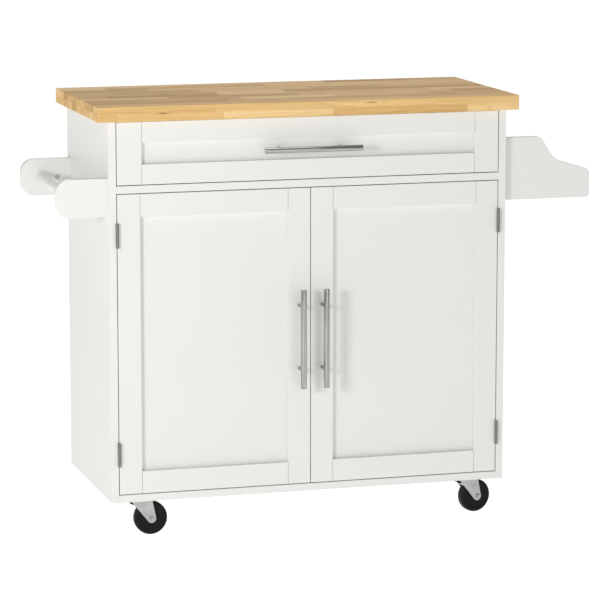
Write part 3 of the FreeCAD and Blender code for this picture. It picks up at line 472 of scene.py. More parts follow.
def rounded_rod(length, radius, edge, steps=4):
    """Profile of a rod with rounded end edges."""
    profile = []
    for step in range(steps + 1):
        angle = math.pi / 2 * step / steps
        profile.append((edge - edge * math.cos(angle), radius - edge + edge * math.sin(angle)))
    profile += [(length - distance, r) for distance, r in reversed(profile)]
    return profile


def box_middle(low, high):
    return (low + high) / 2


rail_low, rail_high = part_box("towel_rail")
rail_middle = box_middle(rail_low, rail_high)
rail_mesh = bmesh.new()
rail_radius = (rail_high.z - rail_low.z) / 2
turned(rail_mesh, rounded_rod(rail_high.y - rail_low.y, rail_radius, RAIL_EDGE),
       (rail_middle.x, rail_low.y, rail_middle.z), (0, 1, 0))
piece("towel_rail_dowel", rail_mesh, paint_finish, "root", ["towel_rail"])


# Bar handles.  A brushed stainless bar with eased ends on two slim turned posts, each with a
# low foot ring, screwed on from behind.

POST_SPACING = 128 * MM
POST_RADIUS = 3.3 * MM
POST_FOOT_RADIUS = 3.5 * MM
POST_FOOT = 1.6 * MM
BAR_END_EDGE = 0.8 * MM
STEEL_COLOUR = (0.53, 0.525, 0.515)
STEEL_STREAK_COLOUR = (0.2385, 0.23625, 0.23175)
BRUSH_ALONG = 9.0
BRUSH_ACROSS = 620.0


def brushed_steel(name, scale):
    """Steel with brush lines; scale stretches them, least along the lines."""
    steel = Finish(name, {"Metallic": 1.0})
    place = steel.place()
    lines = steel.noise(steel.vector("MULTIPLY", place, scale), 1.0, 3.0, 0.6)
    smudge = steel.noise(place, 45.0, 2.0)
    streaks = ((lines - 0.35) * 3.0).limited()
    steel.set("Base Color", steel.mix(streaks, STEEL_STREAK_COLOUR, STEEL_COLOUR))
    steel.set("Roughness", 0.17 + (lines - 0.5) * 0.12 + (smudge - 0.5) * 0.05)
    steel.bump(lines, 0.012 * MM)
    return steel.material


def bar_handle(name, node, body, along, material):
    """Bar and posts in the place of a handle node; along is the bar's direction."""
    low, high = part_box(node)
    middle = box_middle(low, high)
    axis = Vector(along)
    radius = min(high.x - low.x, high.z - low.z) / 2
    length = max(high.x - low.x, high.z - low.z)
    bar_y = low.y + radius
    mesh = bmesh.new()
    start = Vector((middle.x, bar_y, middle.z)) - axis * (length / 2)
    turned(mesh, rounded_rod(length, radius, BAR_END_EDGE), start, axis)
    # A post runs from its foot on the door until it is inside the bar.
    post = high.y - bar_y - radius * 0.6
    profile = [(0.0, POST_FOOT_RADIUS), (POST_FOOT * 0.7, POST_FOOT_RADIUS),
               (POST_FOOT, POST_FOOT_RADIUS - 0.3 * POST_FOOT), (POST_FOOT, POST_RADIUS),
               (post, POST_RADIUS)]
    for way in (-0.5, 0.5):
        foot = Vector((middle.x, high.y, middle.z)) + axis * (way * POST_SPACING)
        turned(mesh, profile, foot, (0, -1, 0), 32)
    piece(name, mesh, material, body, [node])


upright_steel = brushed_steel("brushed_steel_upright", (BRUSH_ACROSS, BRUSH_ACROSS, BRUSH_ALONG))
level_steel = brushed_steel("brushed_steel_level", (BRUSH_ALONG, BRUSH_ACROSS, BRUSH_ACROSS))
bar_handle("door_left_bar_handle", "door_left_handle", "door_left", (0, 0, 1), upright_steel)
bar_handle("door_right_bar_handle", "door_right_handle", "door_right", (0, 0, 1), upright_steel)
bar_handle("drawer_bar_handle", "drawer_handle", "drawer", (1, 0, 0), level_steel)


# Butt hinges.  Satin nickel leaves folded in the door gap, with five knuckles proud of the
# cabinet's front and a pin with pointed tips through them.

HINGE_LENGTH = 46 * MM
HINGE_KNUCKLES = 5
HINGE_KNUCKLE_GAP = 0.3 * MM
HINGE_KNUCKLE_EDGE = 0.35 * MM
HINGE_LEAF = 0.65 * MM
HINGE_GAP = 1.6 * MM
HINGE_FACE_GAP = 0.3 * MM
HINGE_TIP = 2.2 * MM
HINGE_PIN_RADIUS = 1.4 * MM
HINGE_EDGE = 0.12 * MM
NICKEL_COLOUR = (0.25, 0.245, 0.235)
NICKEL_DULL_COLOUR = (0.18, 0.177, 0.170)


def plated(name, colour, dull_colour, roughness):
    """Plated metal: fine grain and a slow drift of its colour and sheen."""
    metal = Finish(name, {"Metallic": 1.0})
    place = metal.place()
    drift = metal.noise(place, 60.0, 3.0)
    grain = metal.noise(place, 1500.0, 2.0)
    metal.set("Base Color", metal.mix(drift, colour, dull_colour))
    metal.set("Roughness", roughness + (drift - 0.5) * 0.18 + (grain - 0.5) * 0.08)
    metal.bump(grain, 0.012 * MM)
    return metal.material


def joint_named(name):
    """The frame's record of one joint."""
    return next(j for j in frame["joints"] if j["name"] == name)


def hinge_sides(door):
    """One door's hinge axis, knuckle radius, side, both lower ends and the leaves' back edge."""
    axis_x, axis_y, _ = joint_named(door + "_hinge")["pos_m"]
    low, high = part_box(door + "_hinge_leaves")
    side = -1 if door == "door_left" else 1
    return axis_x, axis_y, axis_y - low.y, side, (low.z, high.z - HINGE_LENGTH), high.y


def add_hinge_leaves(mesh, door, on_door):
    """Leaves with their share of the knuckles, for both hinges of a door."""
    axis_x, axis_y, radius, side, starts, back = hinge_sides(door)
    panel_x = axis_x + side * HINGE_GAP / 2
    leaf_x = panel_x - side * (HINGE_GAP - HINGE_LEAF if on_door else 0.0)
    x0, x1 = sorted((leaf_x, leaf_x - side * HINGE_LEAF))
    front = axis_y + radius + HINGE_FACE_GAP
    pitch = (HINGE_LENGTH + HINGE_KNUCKLE_GAP) / HINGE_KNUCKLES
    for start in starts:
        block(mesh, (x0, front, start), (x1, back, start + HINGE_LENGTH))
        for index in range(1 if on_door else 0, HINGE_KNUCKLES, 2):
            low = start + index * pitch
            length = pitch - HINGE_KNUCKLE_GAP
            turned(mesh, rounded_rod(length, radius, HINGE_KNUCKLE_EDGE, 3),
                   (axis_x, axis_y, low), (0, 0, 1), 32)
            block(mesh, (x0, axis_y, low), (x1, front, low + length))


nickel_finish = plated("satin_nickel", NICKEL_COLOUR, NICKEL_DULL_COLOUR, 0.32)
fixed_mesh = bmesh.new()
for door in ("door_left", "door_right"):
    add_hinge_leaves(fixed_mesh, door, False)
    door_mesh = bmesh.new()
    add_hinge_leaves(door_mesh, door, True)
    piece(door + "_hinge_folds", door_mesh, nickel_finish, door,
          [door + "_hinge_leaves"], HINGE_EDGE)
piece("cabinet_hinge_folds", fixed_mesh, nickel_finish, "root",
      ["hinge_leaves_fixed"], HINGE_EDGE)

pin_mesh = bmesh.new()
for door in ("door_left", "door_right"):
    axis_x, axis_y, radius, _, starts, _ = hinge_sides(door)
    tip = [(0.0, 0.0), (0.15 * HINGE_TIP, 0.40 * radius), (0.55 * HINGE_TIP, 0.62 * radius),
           (HINGE_TIP - 0.1 * MM, 0.97 * radius), (HINGE_TIP, 0.92 * radius)]
    whole = HINGE_LENGTH + 2 * HINGE_TIP
    shank = [(HINGE_TIP, HINGE_PIN_RADIUS), (whole - HINGE_TIP, HINGE_PIN_RADIUS)]
    profile = tip + shank + [(whole - distance, r) for distance, r in reversed(tip)]
    for start in starts:
        turned(pin_mesh, profile, (axis_x, axis_y, start - HINGE_TIP), (0, 0, 1), 32)
piece("hinge_pointed_pins", pin_mesh, nickel_finish, "root", ["hinge_pins"])


# Screws.  Zinc-plated cross-recess screws: flat heads in hinges and slides, domed heads behind
# the handles and under the caster plates.

ZINC_COLOUR = (0.56, 0.565, 0.555)
ZINC_DULL_COLOUR = (0.30, 0.305, 0.30)
SCREW_SEED = 5
SHANK_SHARE = 0.45
# Head heights under and over the rim, recess width, and the head radii a kind is known by.
DOMED_SCREW = (0.3 * MM, 2.1 * MM, 0.85 * MM, (3.5 * MM, 4.5 * MM))
FLAT_SCREW = (1.4 * MM, 0.15 * MM, 0.6 * MM, (2.2 * MM, 3.4 * MM))
SCREW_NODES = (("cabinet_fixings", "root"), ("caster_screws", "root"),
               ("drawer_screws", "drawer"), ("door_left_screws", "door_left"),
               ("door_right_screws", "door_right"))

zinc_finish = plated("zinc_plate", ZINC_COLOUR, ZINC_DULL_COLOUR, 0.34)


class Nodes:
    """A Geometry Nodes tree under construction."""

    def __init__(self, name, inputs):
        self.tree = bpy.data.node_groups.new(name, "GeometryNodeTree")
        self.tree.interface.new_socket("Geometry", in_out="INPUT",
                                       socket_type="NodeSocketGeometry")
        self.tree.interface.new_socket("Geometry", in_out="OUTPUT",
                                       socket_type="NodeSocketGeometry")
        for socket, kind in inputs.items():
            self.tree.interface.new_socket(socket, in_out="INPUT", socket_type="NodeSocket" + kind)
        self.entry = self.tree.nodes.new("NodeGroupInput")

    def add(self, kind, settings, inputs, output=0):
        """Adds a node and returns one of its outputs; a list goes to one socket together."""
        node = self.tree.nodes.new(kind)
        for name, value in settings.items():
            setattr(node, name, value)
        for key, value in inputs.items():
            if isinstance(value, bpy.types.NodeSocket):
                self.tree.links.new(value, node.inputs[key])
            elif isinstance(value, list):
                for socket in value:
                    self.tree.links.new(socket, node.inputs[key])
            else:
                node.inputs[key].default_value = value
        return node.outputs[output]

    def sum(self, operation, first, second):
        return self.add("ShaderNodeMath", {"operation": operation}, {0: first, 1: second})

    def vector(self, x, y, z):
        return self.add("ShaderNodeCombineXYZ", {}, {"X": x, "Y": y, "Z": z})

    def named(self, socket):
        return self.entry.outputs[socket]

    def finish(self, geometry, material):
        solid = self.add("GeometryNodeRealizeInstances", {}, {"Geometry": geometry})
        dressed = self.add("GeometryNodeSetMaterial", {}, {"Geometry": solid, "Material": material})
        leave = self.tree.nodes.new("NodeGroupOutput")
        self.tree.links.new(dressed, leave.inputs["Geometry"])
        return self.tree


def screw_tree():
    """Screws on points: each point holds the way its screw's head faces and its length."""
    tree = Nodes("screws", {"Head Radius": "Float", "Head Height": "Float", "Dome": "Float",
                            "Shank Radius": "Float", "Recess": "Float", "Seed": "Int",
                            "Material": "Material"})
    radius = tree.named("Head Radius")
    recess = tree.named("Recess")
    ball = tree.add("GeometryNodeMeshUVSphere", {},
                    {"Segments": 20, "Rings": 10, "Radius": radius})
    place = tree.add("GeometryNodeInputPosition", {}, {})
    x, y, z = (tree.add("ShaderNodeSeparateXYZ", {}, {0: place}, i) for i in range(3))
    share = tree.sum("DIVIDE", z, radius)
    dome = tree.sum("MULTIPLY", tree.sum("MAXIMUM", share, 0.0), tree.named("Dome"))
    under = tree.sum("MULTIPLY", tree.sum("MINIMUM", share, 0.0), tree.named("Head Height"))
    shaped = tree.vector(x, y, tree.sum("ADD", dome, under))
    head = tree.add("GeometryNodeSetPosition", {}, {"Geometry": ball, "Position": shaped})
    slot_long = tree.sum("MULTIPLY", radius, 1.05)
    cuts = [tree.add("GeometryNodeMeshCube", {}, {"Size": tree.vector(*size, radius)})
            for size in ((slot_long, recess), (recess, slot_long))]
    head = tree.add("GeometryNodeMeshBoolean", {"operation": "DIFFERENCE", "solver": "EXACT"},
                    {"Mesh 1": head, "Mesh 2": cuts})
    facing = tree.add("GeometryNodeInputNamedAttribute", {"data_type": "FLOAT_VECTOR"},
                      {"Name": "facing"})
    length = tree.add("GeometryNodeInputNamedAttribute", {"data_type": "FLOAT"},
                      {"Name": "length"})
    spin = tree.add("FunctionNodeRandomValue", {"data_type": "FLOAT"},
                    {2: 0.0, 3: math.pi / 2, "Seed": tree.named("Seed")}, 1)
    looking = tree.add("FunctionNodeAlignRotationToVector", {"axis": "Z"}, {"Vector": facing})
    turn = tree.add("FunctionNodeEulerToRotation", {}, {"Euler": tree.vector(0.0, 0.0, spin)})
    looking = tree.add("FunctionNodeRotateRotation", {"rotation_space": "LOCAL"},
                       {"Rotation": looking, "Rotate By": turn})
    heads = tree.add("GeometryNodeInstanceOnPoints", {},
                     {"Points": tree.named("Geometry"), "Instance": head, "Rotation": looking})
    shank = tree.add("GeometryNodeMeshCylinder", {},
                     {"Vertices": 12, "Radius": tree.named("Shank Radius"), "Depth": 1.0})
    shank = tree.add("GeometryNodeTransform", {}, {"Geometry": shank,
                                                   "Translation": (0.0, 0.0, -0.5)})
    shanks = tree.add("GeometryNodeInstanceOnPoints", {},
                      {"Points": tree.named("Geometry"), "Instance": shank,
                       "Rotation": looking, "Scale": tree.vector(1.0, 1.0, length)})
    both = tree.add("GeometryNodeJoinGeometry", {}, {"Geometry": [heads, shanks]})
    return tree.finish(both, tree.named("Material"))


def islands(node):
    """Vertex places of each separate solid in a frame node."""
    data = bmesh.new()
    data.from_mesh(frame["nodes"][node].data)
    bmesh.ops.remove_doubles(data, verts=data.verts, dist=1e-6)
    left = set(data.verts)
    found = []
    while left:
        stack = [left.pop()]
        members = []
        while stack:
            vertex = stack.pop()
            members.append(vertex.co.copy())
            for edge in vertex.link_edges:
                other = edge.other_vert(vertex)
                if other in left:
                    left.remove(other)
                    stack.append(other)
        found.append(members)
    data.free()
    return found


def head_end(points):
    """Seat of a screw's head, the way the head faces and the screw's length."""
    low = Vector([min(p[i] for p in points) for i in range(3)])
    high = Vector([max(p[i] for p in points) for i in range(3)])
    size = high - low
    axis = max(range(3), key=lambda i: size[i])
    middle = (low + high) / 2
    half = (low[axis] + high[axis]) / 2

    def spread(upper):
        return max((p - middle).length_squared - (p - middle)[axis] ** 2
                   for p in points if (p[axis] > half) == upper)

    way = 1 if spread(True) > spread(False) else -1
    facing = Vector([way if i == axis else 0.0 for i in range(3)])
    top = middle + facing * (size[axis] / 2)
    return top, facing, size[axis], math.sqrt(max(spread(True), spread(False)))


screws_on_points = screw_tree()


def screws(name, node, body, kind):
    """Screws of one kind in a node, made a plain mesh, or None where the node has none."""
    head_height, dome, recess, (low_radius, high_radius) = kind
    found = [end for end in map(head_end, islands(node)) if low_radius < end[3] < high_radius]
    if not found:
        return None
    head_radius = found[0][3]
    data = bpy.data.meshes.new(name)
    data.from_pydata([top - facing * dome for top, facing, _, _ in found], [], [])
    facing = data.attributes.new("facing", "FLOAT_VECTOR", "POINT")
    facing.data.foreach_set("vector", [c for _, way, _, _ in found for c in way])
    length = data.attributes.new("length", "FLOAT", "POINT")
    length.data.foreach_set("value", [size - dome for _, _, size, _ in found])
    made = new_object(name, data)
    modifier = made.modifiers.new("screws", "NODES")
    modifier.node_group = screws_on_points
    sizes = {"Head Radius": head_radius, "Head Height": head_height, "Dome": dome,
             "Shank Radius": head_radius * SHANK_SHARE, "Recess": recess, "Seed": SCREW_SEED,
             "Material": zinc_finish}
    for socket in screws_on_points.interface.items_tree:
        if socket.in_out == "INPUT" and socket.name in sizes:
            modifier[socket.identifier] = sizes[socket.name]
    graph = bpy.context.evaluated_depsgraph_get()
    solid = bpy.data.meshes.new_from_object(made.evaluated_get(graph))
    made.modifiers.clear()
    made.data = solid
    solid.set_sharp_from_angle(angle=SHARP_ANGLE)
    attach(made, body)
    return made


for node, body in SCREW_NODES:
    domed = screws(node + "_domed", node, body, DOMED_SCREW)
    screws(node + "_flat", node, body, FLAT_SCREW)
    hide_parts(node)


# Cam locks and rack bolts.  Die-cast cams with a cross slot pull the boards together on steel
# pins, and bolts through the side panels hold the racks.

CAM_RADIUS = 7.5 * MM
CAM_HEIGHT = 12 * MM
CAM_BOLT_RADIUS = 3 * MM
# Radii, from the bolt's middle, between which a solid is a cam with its bolt.
CAM_ISLANDS = (6 * MM, 12 * MM)
# The cam's dished head: distance from its face, and radius.
CAM_HEAD = ((0.0, 0.0), (0.4 * MM, 4.9 * MM), (0.9 * MM, 5.3 * MM), (0.2 * MM, 5.9 * MM),
            (0.0, 6.8 * MM), (0.4 * MM, CAM_RADIUS))

cam_mesh = bmesh.new()
for points in islands("cabinet_fixings"):
    end, facing, length, radius = head_end(points)
    if not CAM_ISLANDS[0] < radius < CAM_ISLANDS[1]:
        continue
    low_z = min(p.z for p in points)
    centre = Vector((end.x - facing.x * CAM_RADIUS, end.y, low_z))
    cup = [*CAM_HEAD, (CAM_HEIGHT, CAM_RADIUS), (CAM_HEIGHT, 0.0)]
    turned(cam_mesh, cup, centre, (0, 0, 1), 32)
    bolt_z = low_z + CAM_RADIUS
    turned(cam_mesh, [(0.0, 0.0), (0.0, CAM_BOLT_RADIUS),
                      (length - CAM_RADIUS, CAM_BOLT_RADIUS), (length - CAM_RADIUS, 0.0)],
           (end.x - facing.x * length, end.y, bolt_z), facing, 16)
piece("cam_locks", cam_mesh, zinc_finish, "root")

dress("rack_fixings", zinc_finish)


# Dowels.  Fluted beech pegs, glued between the side panels and the rack boards.  They hardly
# show, so they keep the frame's shape and only take the bare wood.

BEECH_COLOUR = (0.66, 0.47, 0.28)
BEECH_DARK_COLOUR = (0.48, 0.30, 0.15)


def beech(name):
    """Bare beech with short ray flecks."""
    wood = Finish(name, {"Specular IOR Level": 0.3})
    place = wood.place()
    grain = wood.noise(wood.vector("MULTIPLY", place, (60.0, 900.0, 900.0)), 1.0, 3.0)
    fleck = wood.noise(wood.vector("MULTIPLY", place, (400.0, 1500.0, 1500.0)), 1.0, 1.0)
    shade = (grain * 0.7 + (fleck - 0.5) * 0.5).limited()
    wood.set("Base Color", wood.mix(shade, BEECH_COLOUR, BEECH_DARK_COLOUR))
    wood.set("Roughness", 0.62 + (grain - 0.5) * 0.2)
    wood.bump(grain, 0.08 * MM)
    return wood.material


dress("rack_dowels", beech("bare_beech"))


# Drawer slides, shelf pins, catches and strike plates.  Rolled and zinc-plated steel channels,
# steel pins, and white moulded magnetic catches that meet a small steel plate on each door.

CATCH_COLOUR = (0.79, 0.79, 0.77)
CATCH_SHADOW_COLOUR = (0.72, 0.72, 0.70)
MOULDED_TEXTURE = 0.03 * MM

for node in ("slide_outer_members", "slide_middle_members", "slide_inner_members",
             "shelf_pins", "door_left_strike_plate", "door_right_strike_plate"):
    dress(node, zinc_finish)


def moulded(name, colour, shadow_colour, gloss):
    """Moulded plastic with a fine even texture and slow variation in its sheen."""
    plastic = Finish(name, {"Specular IOR Level": gloss})
    place = plastic.place()
    cloud = plastic.noise(place, 30.0, 3.0)
    texture = plastic.noise(place, 1400.0, 2.0)
    plastic.set("Base Color", plastic.mix(cloud, colour, shadow_colour))
    plastic.set("Roughness", 0.42 + (cloud - 0.5) * 0.14 + (texture - 0.5) * 0.08)
    plastic.bump(texture, MOULDED_TEXTURE)
    return plastic.material


dress("magnetic_catches", moulded("white_plastic", CATCH_COLOUR, CATCH_SHADOW_COLOUR, 0.5))


# Casters.  A pressed mounting plate and two ball races on a riveted kingpin, a pressed fork
# that tapers to an eye, a moulded wheel on a riveted axle, and foot brakes on the front two.

CASTER_TOP = 80 * MM
PLATE_HALF_LENGTH = 31 * MM
PLATE_HALF_WIDTH = 25 * MM
PLATE_SHEET = 2.5 * MM
PLATE_CORNER = 6 * MM
PLATE_EDGE = 0.35 * MM
RACE_RADIUS = 21 * MM
RACE_ROLL = 1.2 * MM
RACE_GAP = 0.4 * MM
# How far a race runs into the sheet that it sits on.
RACE_SINK = 0.1 * MM
KINGPIN_RADIUS = 5 * MM
# The kingpin's riveted head: distance from its face, and radius.
KINGPIN_HEAD = ((0.0, 0.0), (0.0, 5.5 * MM), (0.4 * MM, 6.8 * MM), (1.0 * MM, 7 * MM),
                (1.0 * MM, KINGPIN_RADIUS))
KINGPIN_PROUD = 1.3 * MM
TRAIL = 25 * MM
WHEEL_RADIUS = 34 * MM
FORK_SHEET = 2.5 * MM
FORK_OUTER_HALF = 14.5 * MM
FORK_TOP = 73.7 * MM
FORK_EYE = 9 * MM
FORK_TOP_FRONT = -18 * MM
FORK_TOP_REAR = TRAIL + 1 * MM
FORK_BEND = 3.5 * MM
FORK_EDGE = 0.45 * MM
FORK_COLUMNS = 15
FORK_EYE_STEPS = 8
FORK_LEG_STEPS = 10
FORK_BEND_STEPS = 6
# The crease down each leg: its depth, its share of the leg's width, and its lower end's start
# above the axle and length.
FORK_CREASE = 1.5 * MM
FORK_CREASE_SHARE = 0.36
FORK_CREASE_LOW = 10 * MM
FORK_CREASE_FADE = 12 * MM
AXLE_HEAD = 2.2 * MM
# The axle's riveted head: distance from its face, and radius.
AXLE_RIVET = ((0.9 * MM, 0.0), (0.8 * MM, 1.0 * MM), (0.0, 1.9 * MM), (0.1 * MM, 2.5 * MM),
              (1.3 * MM, 3.0 * MM), (1.3 * MM, 3.7 * MM), (0.5 * MM, 4.3 * MM),
              (0.7 * MM, 4.9 * MM), (1.6 * MM, 5.5 * MM), (AXLE_HEAD, 5.5 * MM),
              (AXLE_HEAD, 4 * MM))
CASTER_NAMES = ("front_left", "front_right", "rear_left", "rear_right")


def caster_place(name):
    """Matrix from a caster's own frame, its wheel trailing along X, to its place at rest."""
    swivel = joint_named(f"caster_{name}_turn")["pos_m"]
    axle = joint_named(f"caster_{name}_roll")["axis"]
    turn = Matrix.Rotation(math.atan2(-axle[0], axle[1]), 4, "Z")
    return Matrix.Translation((swivel[0], swivel[1], 0.0)) @ turn


def slab(mesh, lower, upper):
    """Closes two matching rings of a mesh's vertices into a slab."""
    mesh.faces.new(upper)
    mesh.faces.new(lower[::-1])
    for index in range(len(lower)):
        after = (index + 1) % len(lower)
        mesh.faces.new((lower[index], lower[after], upper[after], upper[index]))


def rounded_plate(mesh, half_length, half_width, corner, low, high, steps=6):
    """Adds a plate with rounded corners to a mesh."""
    outline = []
    for quarter, (sx, sy) in enumerate(((1, 1), (-1, 1), (-1, -1), (1, -1))):
        centre = Vector((sx * (half_length - corner), sy * (half_width - corner)))
        for step in range(steps + 1):
            angle = math.pi / 2 * (quarter + step / steps)
            outline.append(centre + Vector((math.cos(angle), math.sin(angle))) * corner)
    slab(mesh, *([mesh.verts.new((p.x, p.y, z)) for p in outline] for z in (low, high)))


def race(mesh, low, high, radius):
    """Adds a pressed race disc with rolled edges."""
    roll = min(RACE_ROLL, (high - low) / 2.2)
    turned(mesh, [(low, 0.0), (low, radius - roll), (low + roll * 0.3, radius - roll * 0.3),
                  (low + roll, radius), (high - roll, radius),
                  (high - roll * 0.3, radius - roll * 0.3), (high, radius - roll),
                  (high, 0.0)], (0, 0, 0), (0, 0, 1), 64)


race_split = (FORK_TOP + CASTER_TOP - PLATE_SHEET) / 2
pin_low = FORK_TOP - FORK_SHEET - KINGPIN_PROUD
plates_mesh = bmesh.new()
for name in CASTER_NAMES:
    part = bmesh.new()
    rounded_plate(part, PLATE_HALF_LENGTH, PLATE_HALF_WIDTH, PLATE_CORNER,
                  CASTER_TOP - PLATE_SHEET, CASTER_TOP)
    race(part, race_split + RACE_GAP / 2, CASTER_TOP - PLATE_SHEET + RACE_SINK, RACE_RADIUS)
    head = [(pin_low + distance, radius) for distance, radius in KINGPIN_HEAD]
    turned(part, head + [(CASTER_TOP, KINGPIN_RADIUS), (CASTER_TOP, 0.0)],
           (0, 0, 0), (0, 0, 1), 32)
    # A plate lies square to the cabinet, however its fork is turned.
    part.transform(Matrix.Translation(caster_place(name).to_translation()))
    plate = bpy.data.meshes.new("plate")
    part.to_mesh(plate)
    part.free()
    plates_mesh.from_mesh(plate)
    bpy.data.meshes.remove(plate)
piece("caster_mounting_plates", plates_mesh, zinc_finish, "root",
      ["caster_plates"], PLATE_EDGE)


def fork_edges(z):
    """Leading and trailing X of the fork's leg at a height."""
    eye = Vector((TRAIL, WHEEL_RADIUS))
    edges = []
    for top_x, way in ((FORK_TOP_FRONT, -1), (FORK_TOP_REAR, 1)):
        top = Vector((top_x, FORK_TOP))
        offset = top - eye
        lean = math.atan2(offset.y, offset.x) - way * math.acos(FORK_EYE / offset.length)
        touch = eye + Vector((math.cos(lean), math.sin(lean))) * FORK_EYE
        if z > touch.y:
            share = (z - touch.y) / (FORK_TOP - touch.y)
            edges.append(touch.x + share * (top.x - touch.x))
        else:
            drop = max(-0.999, min(0.999, (z - eye.y) / FORK_EYE))
            edges.append(eye.x + way * FORK_EYE * math.sqrt(1 - drop * drop))
    return edges


def fork_section():
    """Y and Z along the pressed sheet, from one eye over the top to the other."""
    low = WHEEL_RADIUS - FORK_EYE
    half = []
    for step in range(FORK_EYE_STEPS):
        angle = math.pi / 2 * step / FORK_EYE_STEPS
        half.append((FORK_OUTER_HALF, low + FORK_EYE * (1 - math.cos(angle))))
    leg = FORK_TOP - FORK_BEND - WHEEL_RADIUS
    half += [(FORK_OUTER_HALF, WHEEL_RADIUS + leg * step / FORK_LEG_STEPS)
             for step in range(FORK_LEG_STEPS + 1)]
    for step in range(1, FORK_BEND_STEPS + 1):
        angle = math.pi / 2 * step / FORK_BEND_STEPS
        half.append((FORK_OUTER_HALF - FORK_BEND * (1 - math.cos(angle)),
                     FORK_TOP - FORK_BEND * (1 - math.sin(angle))))
    return [(-y, z) for y, z in half] + [(y, z) for y, z in reversed(half)]


def fork_mesh():
    """Outer skin of a fork: each leg's leading third leans in from a crease."""
    mesh = bmesh.new()
    columns = [step / FORK_COLUMNS for step in range(FORK_COLUMNS + 1)]
    rows = []
    for y, z in fork_section():
        front, rear = fork_edges(z)
        row = []
        for share in columns:
            lean = max(0.0, FORK_CREASE_SHARE - share) / FORK_CREASE_SHARE
            above = z - WHEEL_RADIUS - FORK_CREASE_LOW
            fade = min(1.0, max(0.0, above / FORK_CREASE_FADE))
            fade *= min(1.0, max(0.0, abs(y) - FORK_OUTER_HALF + FORK_BEND) / FORK_BEND)
            inward = FORK_CREASE * lean * fade
            row.append(mesh.verts.new((front + share * (rear - front),
                                       y - math.copysign(inward, y), z)))
        rows.append(row)
    for first, second in zip(rows, rows[1:]):
        for index in range(len(columns) - 1):
            mesh.faces.new((first[index], first[index + 1], second[index + 1], second[index]))
    bmesh.ops.recalc_face_normals(mesh, faces=mesh.faces)
    top = max(mesh.faces, key=lambda face: face.calc_center_median().z)
    if top.normal.z < 0:
        bmesh.ops.reverse_faces(mesh, faces=mesh.faces)
    return mesh


for name in CASTER_NAMES:
    mesh = fork_mesh()
    mesh.transform(caster_place(name))
    body = f"caster_{name}_swivel"
    fork = piece(f"caster_{name}_pressed_fork", mesh, zinc_finish, body,
                 [f"caster_{name}_fork"])
    sheet = fork.modifiers.new("sheet", "SOLIDIFY")
    sheet.thickness = FORK_SHEET
    sheet.offset = -1.0
    sheet.use_even_offset = True
    edge = fork.modifiers.new("rounded_edges", "BEVEL")
    edge.width = FORK_EDGE
    edge.segments = 2
    edge.limit_method = "ANGLE"
    edge.angle_limit = math.radians(50)
    edge.harden_normals = True
    mesh = bmesh.new()
    race(mesh, FORK_TOP - FORK_SHEET, FORK_TOP - RACE_SINK, RACE_RADIUS + 1 * MM)
    race(mesh, FORK_TOP - RACE_SINK, race_split - RACE_GAP / 2, RACE_RADIUS)
    mesh.transform(caster_place(name))
    piece(f"caster_{name}_lower_race", mesh, zinc_finish, body)
    mesh = bmesh.new()
    start = -FORK_OUTER_HALF - AXLE_HEAD
    whole = -2 * start
    profile = [*AXLE_RIVET, *((whole - distance, r) for distance, r in reversed(AXLE_RIVET))]
    turned(mesh, profile, (TRAIL, start, WHEEL_RADIUS), (0, 1, 0), 40)
    mesh.transform(caster_place(name))
    piece(f"caster_{name}_riveted_axle", mesh, zinc_finish, body,
          [f"caster_{name}_axle"])


WHEEL_HALF = 10 * MM
WHEEL_EDGE = 5 * MM
WHEEL_EDGE_STEPS = 8
HUB_HALF = 11.5 * MM
HUB_RADIUS = 12 * MM
BORE_RADIUS = 4.05 * MM
WHEEL_DISH = 25 * MM
BLACK_COLOUR = (0.0045, 0.0045, 0.0045)
BLACK_WORN_COLOUR = (0.0080, 0.0080, 0.0077)


def wheel_profile():
    """Half section of the wheel from its bore round the hub and tread, and back."""
    half = [(HUB_HALF, BORE_RADIUS), (HUB_HALF, HUB_RADIUS - 0.5 * MM),
            (HUB_HALF - 0.5 * MM, HUB_RADIUS), (WHEEL_HALF, HUB_RADIUS + 0.3 * MM),
            (WHEEL_HALF - 0.35 * MM, HUB_RADIUS + 1.5 * MM),
            (WHEEL_HALF - 0.35 * MM, WHEEL_DISH), (WHEEL_HALF, WHEEL_DISH + 0.8 * MM),
            (WHEEL_HALF, WHEEL_RADIUS - WHEEL_EDGE)]
    for step in range(1, WHEEL_EDGE_STEPS + 1):
        angle = math.pi / 2 * step / WHEEL_EDGE_STEPS
        half.append((WHEEL_HALF - WHEEL_EDGE * (1 - math.cos(angle)),
                     WHEEL_RADIUS - WHEEL_EDGE * (1 - math.sin(angle))))
    mirrored = [(-y, r) for y, r in half]
    return mirrored + half[::-1]


black_finish = moulded("black_polymer", BLACK_COLOUR, BLACK_WORN_COLOUR, 0.13)
for name in CASTER_NAMES:
    mesh = bmesh.new()
    profile = wheel_profile()
    turned(mesh, profile + profile[:1], (TRAIL, 0, WHEEL_RADIUS), (0, 1, 0), 96)
    mesh.transform(caster_place(name))
    piece(f"caster_{name}_moulded_wheel", mesh, black_finish, f"caster_{name}_wheel",
          [f"caster_{name}_wheel"])


